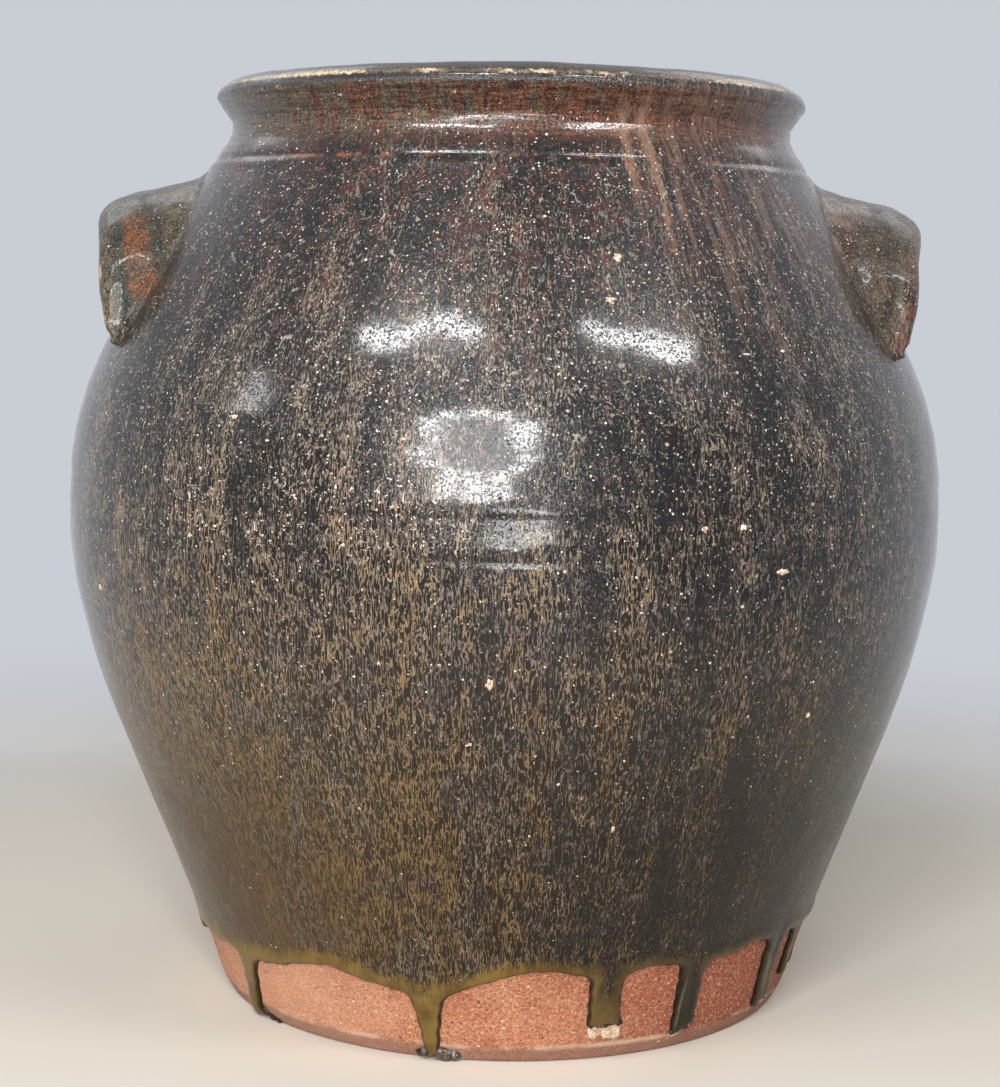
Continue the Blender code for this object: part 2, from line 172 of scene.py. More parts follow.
# Runs: angle at the top and at the tip, half width at the top and at the tip, tip's height, swell
RUNS = (
    (-51.6, -54.6, 5.6, 3.6, 0.6, 0.3), (-12.9, -12.6, 7.2, 2.4, 2.4, 0.4),
    (17.6, 18.4, 6.4, 6.6, 6.0, 0.0), (34.0, 34.9, 5.8, 5.2, 4.0, 0.2),
    (56.0, 58.0, 6.6, 5.4, 5.0, 0.3), (64.6, 65.6, 3.4, 2.4, 15.0, 0.3),
    (87.5, 87.0, 6.0, 3.6, 5.5, 0.6), (108.0, 107.6, 7.0, 4.8, 14.5, 0.8),
    (126.7, 126.5, 5.0, 3.2, 1.6, 0.5), (154.1, 154.6, 6.6, 4.4, 10.0, 0.7),
    (176.0, 175.6, 4.4, 3.0, 20.0, 0.8), (194.8, 195.2, 7.6, 5.2, 5.0, 0.4),
    (218.5, 218.0, 5.4, 3.8, 12.2, 0.7), (240.5, 240.9, 6.6, 4.2, 1.6, 0.5),
    (259.9, 260.3, 4.8, 3.2, 16.5, 0.8), (281.2, 281.0, 6.0, 4.0, 22.0, 0.5),
)
# Tips that broke off square: angle, height and slope of the break
BREAKS = ((18.4, 15.2, 0.05), (34.9, 8.6, 0.5), (58.0, 8.8, 0.45), (108.0, 16.5, -0.1))
# Trickles and pools at the foot: angle, height, half width, half height
TRICKLES = ((-52.4, 2.9, 2.7, 1.7), (-50.2, 1.6, 2.4, 1.2), (-48.4, 1.0, 1.6, 0.8), (-15.0, 2.5, 2.0, 1.5))
SMOOTHING = 5.5


def wobble(angle, *waves):
    """A smooth, closed wave round the jar: turns, size and phase of each wave."""
    a = np.radians(angle)
    return sum(size * np.sin(turns * a + phase) for turns, size, phase in waves)


def panel_top(angle):
    table = np.array(PANEL_TOPS, float)
    table = np.vstack([table[-3:] - (360, 0), table, table[:3] + (360, 0)])
    fine = spline(table, 16)
    order = np.argsort(fine[:, 0])
    angle = (np.asarray(angle, float) + 63.7) % 360 - 63.7
    top = np.interp(angle, fine[order, 0], fine[order, 1])
    return top + wobble(angle, (83, 0.16, 1.0), (131, 0.12, 2.2), (47, 0.22, 0.4))


def merged(a, b, reach):
    """The larger of two distances, with the corner between them filled smoothly."""
    h = np.clip(0.5 + 0.5 * (a - b) / reach, 0, 1)
    return b + (a - b) * h + reach * h * (1 - h)


def off_centre(angle, centre, z):
    """Distance round the wall from a meridian."""
    return ((angle - centre + 180) % 360 - 180) * np.radians(1) * clay_radius(z)


def glaze_depth(angle, z):
    """How far inside the glaze's edge a place on the wall is, in mm; below zero it is bare."""
    angle, z = np.broadcast_arrays(np.asarray(angle, float), np.asarray(z, float))
    depth = z - panel_top(angle)
    for top_angle, tip_angle, top_half, tip_half, tip, swell in RUNS:
        down = np.clip((30.0 - z) / (30.0 - tip), 0, 1)
        half = top_half + (tip_half - top_half) * down ** 0.8
        half = half + swell * bell(z, tip + tip_half, 3.5) + 0.25 * np.sin(z * 0.9 + top_angle)
        off = off_centre(angle, top_angle + (tip_angle - top_angle) * down, z)
        below = np.maximum(tip + tip_half * 0.8 - z, 0)
        depth = merged(depth, half - np.hypot(off, below * (half / (tip_half * 0.8))), SMOOTHING)
    for centre, height, slope in BREAKS:
        off = off_centre(angle, centre, z)
        line = height + slope * off + 0.5 * np.sin(off * 2.3 + centre) + 0.35 * np.sin(off * 4.9)
        depth = np.where(abs(off) < 11, np.minimum(depth, z - line), depth)
    for centre, height, half_width, half_height in TRICKLES:
        off = off_centre(angle, centre, z)
        spot = (1 - np.hypot(off / half_width, (z - height) / half_height)) * half_height
        depth = merged(depth, spot, 1.2)
    return depth


def tip_swell(angle, z):
    """Extra thickness where a run's glass has gathered at its tip."""
    swell = 0.0
    for _, tip_angle, _, tip_half, tip, _ in RUNS:
        low = max([tip] + [height for centre, height, _ in BREAKS if abs(centre - tip_angle) < 3])
        off = off_centre(angle, tip_angle, z)
        swell = swell + 0.7 * bell(z, low + 3.5, 4.5) * bell(off, 0, tip_half)
    return swell


def coat_lift(depth, z):
    """Height of the glaze over the clay: a rounded edge, then a bead, then the plain coat."""
    bead = LIFT + 0.62 * bell(depth, 3.0, 3.2) * (1 - smooth(z, EDGE_TOP - 6, EDGE_TOP + 8))
    share = np.clip(depth / 1.5, 0, 1)
    return bead * np.sqrt(np.clip(1 - (1 - share) ** 2, 0, 1))


def throwing_marks(angle, z):
    """What the potter's hands left on the outside, in mm outwards."""
    z = z + wobble(angle, (1, 0.5, 0.3), (2, 0.35, 1.9), (5, 0.15, 0.7))
    fade = 0.7 + wobble(angle, (2, 0.2, 1.0), (5, 0.15, 0.2))
    grooves = -0.34 * bell(z, 196.5, 1.6) * fade - 0.30 * bell(z, 210.5, 1.5) * (1.4 - fade)
    bands = -0.09 * np.cos((z - 191.0) * 2 * np.pi / 15.5) * smooth(z, 150, 185) * (1 - smooth(z, 240, 275))
    slow = 0.10 * np.sin(z * 0.105 + 0.8) * smooth(z, 50, 90) * (1 - smooth(z, 180, 240))
    neck = -0.45 * bell(z, 333.2, 0.8) + 0.26 * bell(z, 330.6, 1.5) - 0.20 * bell(z, 340.5, 1.4)
    neck = neck + 0.18 * bell(z, 345.0, 1.5) - 0.35 * bell(z, 357.2, 1.0)
    a = np.radians(angle)
    uneven = 0.04 * np.sin(23 * a + 0.15 * z) + 0.03 * np.sin(41 * a - 0.2 * z + 1)
    uneven = uneven + wobble(angle, (3, 0.10, 0.2), (7, 0.06, 1.4))
    return grooves + bands + slow + neck + uneven * smooth(z, 40, 80)


FOOT_BOW = 2.5


def bow(z):
    """The foot stands a little off the axis, towards +X."""
    return FOOT_BOW * (1 - smooth(z, 0, 175))


def to_mesh(name, points, faces, attributes=None):
    """A smooth mesh object from points in mm."""
    mesh = bpy.data.meshes.new(name)
    mesh.from_pydata((np.asarray(points, float) * MM).tolist(), [], faces)
    mesh.validate()
    mesh.shade_smooth()
    for label, values in (attributes or {}).items():
        layer = mesh.attributes.new(label, "FLOAT", "POINT")
        layer.data.foreach_set("value", np.asarray(values, np.float32))
    item = bpy.data.objects.new(name, mesh)
    bpy.context.scene.collection.objects.link(item)
    return item


def around(angle, radius, z):
    a = np.radians(angle)
    return np.stack(np.broadcast_arrays(radius * np.sin(a) + bow(z), -radius * np.cos(a), z), -1)


def kept_in(radius, z):
    return np.minimum(radius, MOST_RADIUS), np.minimum(z, MOST_HEIGHT)


def grid_faces(first, second):
    """Faces between two closed rows of equal count, the second above the first."""
    return np.stack([first, np.roll(first, -1), np.roll(second, -1), second], 1).tolist()


def fan_faces(fine, coarse):
    """Faces between a row and one with half as many points above it."""
    faces = []
    count = len(coarse)
    for i in range(count):
        a, b, c = fine[2 * i], fine[2 * i + 1], fine[(2 * i + 2) % len(fine)]
        left, right = coarse[i], coarse[(i + 1) % count]
        faces += [[a, b, left], [b, right, left], [b, c, right]]
    return faces


def flipped(faces):
    return [face[::-1] for face in faces]


def build_outer_coat():
    """The dark glaze outside: scalloped edge and runs below, rolled over the lip above."""
    edge_rows = stepped(joined(CLAY_LINE[:2], WALL_LINE[WALL_LINE[:, 1] < EDGE_TOP],
                               [(clay_radius(EDGE_TOP), EDGE_TOP)]), lambda z: EDGE_ROW)
    fine_angles = np.arange(EDGE_COLUMNS) * 360.0 / EDGE_COLUMNS
    angles = np.arange(COLUMNS) * 360.0 / COLUMNS
    edge_normals = normals(edge_rows)
    edge_normals[:3] = edge_normals[3]
    depth = glaze_depth(fine_angles[None], edge_rows[:, 1:2])
    assert (depth[-1] > 0).all()

    points, depths, faces = [], [], []
    front = -np.ones(depth.shape, int)
    back = -np.ones(depth.shape, int)

    covered = depth > 0
    row_z = edge_rows[:, 1:2]
    lift = coat_lift(depth, row_z) + throwing_marks(fine_angles[None], row_z) * smooth(row_z, 30, 44)
    lift = lift + tip_swell(fine_angles[None], row_z) * np.clip(depth / 2.0, 0, 1)
    for ids, reach in ((front, lift), (back, np.full(depth.shape, 0.05))):
        radius, z = kept_in(edge_rows[:, :1] + edge_normals[:, :1] * reach,
                            row_z + edge_normals[:, 1:2] * reach)
        ids[covered] = np.arange(covered.sum()) + len(points)
        points.extend(around(fine_angles[None], radius, np.maximum(z, 0.02))[covered])
        depths.extend(depth[covered])
    crossings = {}

    def crossing(p, q):
        """The point where the glaze's edge crosses a grid line, on the clay."""
        key = (p, q) if p < q else (q, p)
        if key not in crossings:
            (j, i), (j2, i2) = key
            share = depth[j, i] / (depth[j, i] - depth[j2, i2])
            angle = fine_angles[i] + ((fine_angles[i2] - fine_angles[i] + 180) % 360 - 180) * share
            radius, z = edge_rows[j] + (edge_rows[j2] - edge_rows[j]) * share + edge_normals[j] * 0.05
            points.append(around(angle, radius, max(z, 0.02)))
            depths.append(0.0)
            crossings[key] = len(points) - 1
        return crossings[key]

    for j in range(len(edge_rows) - 1):
        for i in range(EDGE_COLUMNS):
            corners = [(j, i), (j, (i + 1) % EDGE_COLUMNS), (j + 1, (i + 1) % EDGE_COLUMNS), (j + 1, i)]
            inside = [depth[c] > 0 for c in corners]
            if not any(inside):
                continue
            for ids, turned in ((front, False), (back, True)):
                face = []
                for k, corner in enumerate(corners):
                    following = corners[(k + 1) % 4]
                    if inside[k]:
                        face.append(int(ids[corner]))
                    if inside[k] != inside[(k + 1) % 4]:
                        face.append(crossing(corner, following))
                faces.append(face[::-1] if turned else face)

    def row_step(z):
        """Rows stand closer where the rings, the shoulder groove, the neck and the lip need it."""
        if z > NECK_HEIGHT + 8:
            return 0.9
        if 190 < z < 217 or z > 327:
            return 1.15
        return 3.1

    body = joined([(clay_radius(EDGE_TOP), EDGE_TOP)], WALL_LINE[WALL_LINE[:, 1] > EDGE_TOP],
                  NECK_LINE, LIP_LINE)
    rows = stepped(body, row_step)
    row_normals = normals(rows)
    row_normals[0] = edge_normals[-1]
    top = panel_top(angles)
    lip_wave = wobble(angles, (2, 0.25, 0.5), (5, 0.14, 2.0), (11, 0.10, 0.9), (23, 0.06, 0.1))
    outer_ids, inner_ids = [], []
    for index, (row, normal) in enumerate(zip(rows, row_normals)):
        inside = np.minimum(row[1] - top, 60.0)
        lift = coat_lift(inside, row[1]) + throwing_marks(angles, row[1]) * (row[0] > 108 or row[1] < 340)
        on_lip = smooth(row[1], 354, 362)
        radius, z = kept_in(row[0] + normal[0] * lift + wobble(angles, (3, 0.2, 1.1), (8, 0.1, 0.4)) * on_lip,
                            row[1] + normal[1] * lift + (lip_wave - 0.35) * on_lip)
        if index == 0:
            outer_ids.append(None)
        else:
            outer_ids.append(np.arange(COLUMNS) + len(points))
            points.extend(around(angles, radius, z))
            depths.extend(inside)
    kept = list(range(8, len(rows) - 4, 8)) + [len(rows) - 1]
    for index in kept:
        radius, z = rows[index] + row_normals[index] * 0.15
        inner_ids.append(np.arange(COLUMNS) + len(points))
        points.extend(around(angles, np.full(COLUMNS, radius), np.full(COLUMNS, z)))
        depths.extend(np.full(COLUMNS, 60.0))
    faces += fan_faces(front[-1], outer_ids[1])
    for low, high in zip(outer_ids[1:], outer_ids[2:]):
        faces += grid_faces(low, high)
    faces += flipped(fan_faces(back[-1], inner_ids[0]))
    for low, high in zip(inner_ids, inner_ids[1:]):
        faces += flipped(grid_faces(low, high))
    faces += grid_faces(outer_ids[-1], inner_ids[-1])
    return to_mesh("outer_glaze_coat", points, [[int(v) for v in f] for f in faces], {"edge_mm": depths})


def build_turned(name, line, columns, shift=None):
    """A closed turned body whose outline starts and ends on the axis; shift moves points outwards."""
    angles = np.arange(columns) * 360.0 / columns
    way = normals(line)
    points, ids, faces = [], [], []
    for (radius, z), (across, up) in zip(line, way):
        if radius < 0.01:
            ids.append(len(points))
            points.append((bow(z), 0.0, z))
            continue
        move = shift(angles, radius, z, across) if shift else 0.0
        r, h = kept_in(radius + across * move, z + up * move)
        ids.append(np.arange(columns) + len(points))
        points.extend(around(angles, r, np.maximum(h, 0.0)))
    for low, high in zip(ids, ids[1:]):
        if isinstance(low, int):
            faces += [[low, int(b), int(a)] for a, b in zip(high, np.roll(high, -1))]
        elif isinstance(high, int):
            faces += [[int(a), int(b), high] for a, b in zip(low, np.roll(low, -1))]
        else:
            faces += grid_faces(low, high)
    return to_mesh(name, points, faces)


def inner_line():
    """The clay inside, from the floor's centre to just under the lip."""
    outer = joined(WALL_LINE, NECK_LINE[NECK_LINE[:, 1] < NECK_HEIGHT])
    share = np.clip((BELLY_HEIGHT - outer[:, 1]) / BELLY_HEIGHT, 0, 1)
    thick = WALL + (FOOT_WALL - WALL) * share ** 2
    wall = outer - normals(outer) * thick[:, None]
    wall = wall[wall[:, 1] > FLOOR + FLOOR_FILLET]
    turn = np.linspace(0, np.pi / 2, 9)[:-1]
    fillet = np.stack([wall[0, 0] - FLOOR_FILLET + FLOOR_FILLET * np.sin(turn),
                       FLOOR + FLOOR_FILLET - FLOOR_FILLET * np.cos(turn)], 1)
    return joined([(0.0, FLOOR)], fillet, wall)


def build_lining():
    """The glaze lining, from under the lip down the inside and over the floor."""
    clay = joined(inner_line(), [(101.9, 352.0), (102.6, 357.0), (103.4, 360.4)])
    face = stepped(clay[::-1], lambda z: 1.6 if z > 330 else 2.6)
    way = normals(face)
    front = face + way * GLAZE_STEP * 0.85
    rear = face[::-4] + way[::-4] * 0.15
    front[-1] = (0.0, front[-2, 1])
    rear[0] = (0.0, rear[1, 1])
    loop = np.vstack([front[::-1], face[:1], rear[::-1]])
    loop[-1, 0] = 0.0

    def marks(angles, radius, z, across):
        phase = angles / 360.0
        if z < FLOOR + 4:
            coil = 0.35 * np.sin((radius / 11.0 - phase) * 2 * np.pi)
            return coil * smooth(radius, 4, 20) * smooth(z, 12.3, 12.9)
        rings = 0.35 * np.sin((z / 10.5 - phase) * 2 * np.pi) * smooth(z, 30, 60)
        return rings * (1 - smooth(z, 325, 350)) * (across < 0)

    return build_turned("inner_glaze_lining", loop[::-1], 300, marks)


def build_foot():
    """The lower half's clay, fine where it shows under the glaze."""
    outside = stepped(joined(CLAY_LINE[:2], WALL_LINE[WALL_LINE[:, 1] < EDGE_TOP]), lambda z: 0.75)
    rest = stepped(WALL_LINE[(WALL_LINE[:, 1] > EDGE_TOP + 2) & (WALL_LINE[:, 1] < LUTE_HEIGHT)], lambda z: 9.0)
    inside = inner_line()
    inside = inside[inside[:, 1] < LUTE_HEIGHT - 3]
    inside = stepped(inside[::-1], lambda z: 9.0)
    rim = FOOT_RADIUS - FOOT_CHAMFER
    under = [(0.0, 0.0), (rim * 0.5, 0.0), (rim - 6.0, 0.0), (rim - 1.2, 0.0), (rim - 0.3, 0.12)]
    loop = np.vstack([under, outside[1:], rest, inside])
    loop[-1, 0] = 0.0

    def marks(angles, radius, z, across):
        if z < 0.2 or z > EDGE_TOP or across < 0:
            return -0.05
        coarse = [noise.noise(Vector((p * 0.16).tolist())) for p in around(angles, radius, z)]
        fine = [noise.noise(Vector((p * 0.85).tolist())) for p in around(angles, radius, z)]
        lines = 0.05 * np.sin(z * 1.3 + wobble(angles, (2, 0.8, 0.2), (5, 0.4, 1.0)))
        arris = -0.35 * bell(z, FOOT_CHAMFER_HEIGHT, 0.8)
        return (0.18 * np.array(coarse) + 0.13 * np.array(fine) + lines) * smooth(z, 0.2, 2.0) + arris - 0.05

    return build_turned("foot_clay", loop, 600, marks)


def coat_radius(z):
    """Radius of the glaze outside, on the wall."""
    line = WALL_LINE + normals(WALL_LINE) * LIFT
    return np.interp(z, line[:, 1], line[:, 0])


def lug_arch(stations):
    """Middle line of the slab from foot to foot over the top, and its outward normals."""
    half = (LUG_WIDTH - LUG_THICKNESS) / 2
    rise = LUG_TOP - LUG_THICKNESS / 2 - LUG_BOTTOM
    angle = np.linspace(0, np.pi, 801)
    power = 2 / LUG_ARCH_POWER
    side = -np.sign(np.cos(angle)) * np.abs(np.cos(angle)) ** power * half
    line = np.stack([side, LUG_BOTTOM + rise * np.abs(np.sin(angle)) ** power], 1)
    line = at_lengths(line, np.linspace(0, lengths(line)[-1], stations))
    way = np.gradient(line, axis=0)
    way /= np.linalg.norm(way, axis=1)[:, None]
    return line, np.stack([-way[:, 1], way[:, 0]], 1)


LUG_TAIL = 12
LUG_FILLET = 3.4
LUG_END_SHARE, LUG_END_POWER = 0.40, 2.1
LUG_SAG, LUG_CROWN_TRIM, LUG_FOOT_TRIM = 3.2, 3.4, 1.2
LUG_ROOT_SWELL = 1.2
LUG_TAIL_LENGTH = 2.6
LUG_SKIN = 1.15
LUG_GROOVES = ((8.5, 0.06), (19.5, 0.08))
LUG_GROOVE_HALF = 2.6
BACK_INSET = 60.0


def lug_profile():
    """The slab's section: share of its projection, share of half its thickness, over and back."""
    flat = 1 - LUG_END_SHARE
    section = [(out, 1.0) for out in np.linspace(0, flat, 26)[:-1]]
    for turn in np.radians(np.linspace(90, -90, 19)):
        power = 2 / LUG_END_POWER
        level = math.copysign(abs(math.sin(turn)) ** power, math.sin(turn))
        section.append((flat + LUG_END_SHARE * math.cos(turn) ** power, level))
    return section + [(out, -1.0) for out in np.linspace(flat, 0, 16)[1:]]


def build_lug(name, sign, seed, skin):
    """A slab lug, or its coat with a skin of glaze: its root runs onto the wall, its feet down it."""
    arch, way = lug_arch(130)
    thick = LUG_THICKNESS / 2 + skin
    profile = lug_profile()
    slope = (LUG_DROOP + LUG_SAG) / LUG_PROJECTION
    steps = [k / LUG_TAIL for k in range(LUG_TAIL, 0, -1)]
    stations = [(arch[0] - (0, LUG_TAIL_LENGTH * s), way[0], s) for s in steps]
    stations += [(a, w, 0.0) for a, w in zip(arch, way)]
    stations += [(arch[-1] - (0, LUG_TAIL_LENGTH * s), way[-1], s) for s in steps[::-1]]
    points, fronts, insets = [], [], []
    for number, ((side, height), (normal_s, normal_h), tail) in enumerate(stations):
        full = clay_radius(LUG_TOP) + LUG_PROJECTION
        drop = np.clip((LUG_TOP - height) / (LUG_TOP - LUG_BOTTOM), 0, 1)
        trim = LUG_CROWN_TRIM * (1 - smooth(drop, 0.1, 0.7)) + LUG_FOOT_TRIM * smooth(drop, 0.6, 1.0)
        reach = max(full - LUG_EDGE_DRAFT * drop ** 2 - trim, clay_radius(height) + LUG_END_PROJECTION)
        root_x = math.sqrt(coat_radius(height) ** 2 - side ** 2)
        length = math.sqrt(reach ** 2 - side ** 2) + skin - root_x
        length = length * (1 - 0.45 * smooth(drop, 0.90, 1.0)) * math.sqrt(1 - tail ** 2) - 1.6 * tail
        depth = thick * math.sqrt(1 - 0.7 * tail ** 2)
        relief = 0.30 + 0.70 * smooth(abs(side), 18, 50)
        front = number / (len(stations) - 1)
        turns = np.linspace(0, np.pi / 2, 8)[:-1]
        section = []
        for face, fillet in ((1.0, LUG_FILLET), (-1.0, LUG_FILLET * 0.6)):
            fillet = min(fillet, 0.4 * max(length, 0.5))
            base = depth + LUG_ROOT_SWELL
            skirt = [(fillet * (1 - math.cos(t)) - 0.35, face * (base + fillet * (1 - math.sin(t))), 0.0)
                     for t in turns]
            skirt.insert(0, (-1.8, skirt[0][1], 0.0))
            body = []
            for out, level in profile:
                if (level > 0) != (face > 0):
                    continue
                place = fillet + out * (length - fillet) - 0.35
                share = place / length if length > 6 else out
                groove = sum(deep * bell(length - place, inset, LUG_GROOVE_HALF) for inset, deep in LUG_GROOVES)
                groove = groove * smooth(place, 3, 10) * (face > 0)
                root = LUG_ROOT_SWELL * (1 - smooth(share, 0, 0.3))
                body.append((place, level * (depth * (1 - groove * relief) + root), out))
            section += skirt + body if face > 0 else body + skirt[::-1]
        for out, level, _ in section:
            s, h = side + normal_s * level, height + normal_h * level
            wall = math.sqrt(max(coat_radius(h) ** 2 - s ** 2, 1.0))
            follow = 1 - smooth(out, 0, min(0.55 * LUG_PROJECTION, 0.8 * max(length, 1.0)))
            x = root_x + (wall - root_x) * follow + out
            points.append((x, s, h - slope * max(out, 0.0)))
            fronts.append(front if sign < 0 else 1 - front)
            insets.append(length - out if level > 0 else BACK_INSET)
    size = len(points) // len(stations)
    rings = np.arange(len(points)).reshape(len(stations), size)
    faces = [face for low, high in zip(rings, rings[1:]) for face in grid_faces(low, high)]
    faces += [rings[0][::-1].tolist(), rings[-1].tolist()]
    points = np.array(points)
    for index, p in enumerate(points):
        spot = Vector((p * 0.11).tolist()) + Vector((seed, 0, 0))
        grain = Vector((p * 0.5).tolist()) + Vector((0, seed, 0))
        points[index] += np.array(noise.noise_vector(spot)) * 0.5 + np.array(noise.noise_vector(grain)) * 0.10
    # The arch was laid out on the +X side; the other lug is the same slab turned half round
    points[:, :2] *= sign
    item = to_mesh(name, points, faces, {"front": fronts, "inset": insets,
                                         "edge_mm": np.full(len(points), 60.0)})
    outward(item)
    return item


def outward(item):
    """Turn all faces of a closed mesh outwards."""
    builder = bmesh.new()
    builder.from_mesh(item.data)
    bmesh.ops.recalc_face_normals(builder, faces=builder.faces)
    builder.to_mesh(item.data)
    builder.free()


# Blisters and chips in the coat: angle, height, half width, half height, rise
CHIPS = (
    (-1.4, 153.1, 1.7, 2.2, 0.5), (22.7, 206.6, 1.5, 1.6, 0.5), (27.7, 206.8, 1.6, 1.2, 0.5),
    (33.3, 190.4, 3.0, 1.6, 0.5), (41.6, 135.5, 1.3, 1.5, 0.5), (13.4, 283.5, 2.3, 1.3, 0.5),
    (15.3, 297.9, 1.8, 1.6, 0.5), (-0.5, 224.0, 2.6, 1.5, 0.4), (31.4, 265.3, 2.6, 0.5, 0.3),
    (37.3, 266.3, 1.4, 0.6, 0.3), (-3.9, 130.9, 1.5, 0.8, 0.3), (-33.6, 240.7, 2.0, 0.8, 0.3),
    (14.8, 97.8, 1.1, 1.6, 0.4), (96.0, 214.0, 1.6, 1.9, 0.5), (151.0, 262.0, 2.0, 1.2, 0.5),
    (203.0, 121.0, 1.4, 1.8, 0.5), (252.0, 243.0, 2.2, 1.2, 0.5), (-60.0, 172.0, 1.2, 1.6, 0.4),
)
# Scars on the clay where a run's tip broke away
SCARS = ((16.6, 11.9, 2.8, 2.5, 0.36), (19.8, 11.6, 3.8, 2.9, 0.40), (33.2, 6.6, 2.0, 1.1, 0.3))
# Glass left at the foot and on the broken tips
REMAINS = (
    (-11.0, 3.0, 4.6, 2.3, 2.1), (-8.6, 2.6, 2.6, 1.8, 1.9), (-14.0, 3.2, 1.9, 1.9, 2.0),
    (15.8, 15.7, 1.6, 1.3, 1.8), (18.2, 15.8, 2.3, 1.2, 1.9), (20.9, 16.0, 1.6, 1.3, 1.8),
    (32.9, 7.9, 1.6, 1.0, 1.7), (35.2, 9.3, 1.9, 1.1, 1.8), (56.8, 8.2, 1.8, 1.1, 1.7), (59.0, 9.6, 1.6, 1.1, 1.6),
)


def build_lumps(name, lumps, base, rough, size=1.0):
    """Small uneven lumps set into the wall, as one mesh."""
    points, faces = [], []
    for angle, height, half_width, half_height, rise in lumps:
        a = math.radians(angle)
        foot = around(angle, base(height), height)
        tangent, outwards = np.array((math.cos(a), math.sin(a), 0)), np.array((math.sin(a), -math.cos(a), 0))
        lean = (base(height + 1) - base(height - 1)) / 2
        up = outwards * lean + np.array((0, 0, 1.0))
        normal = outwards - np.array((0, 0, lean))
        builder = bmesh.new()
        bmesh.ops.create_icosphere(builder, subdivisions=3, radius=1.0)
        start = len(points)
        for corner in builder.verts:
            p = np.array(corner.co)
            spot = Vector((p * 1.3).tolist()) + Vector((angle, height, 0))
            p *= 1 + rough * noise.noise(spot) + 0.4 * rough * noise.noise(spot * 3)
            p *= (half_width * size, half_height * size, rise)
            points.append(foot + tangent * p[0] + up * p[1] + normal * p[2])
        faces += [[start + v.index for v in face.verts] for face in builder.faces]
        builder.free()
    points = np.array(points)
    points[:, 2] = np.maximum(points[:, 2], 0.0)
    item = to_mesh(name, points, faces)
    outward(item)
    return item


def linear(*rgb):
    """A colour written as 0 to 255 screen values, as the shader takes it."""
    return tuple((c / 255 / 12.92) if c <= 10 else ((c / 255 + 0.055) / 1.055) ** 2.4 for c in rgb) + (1.0,)


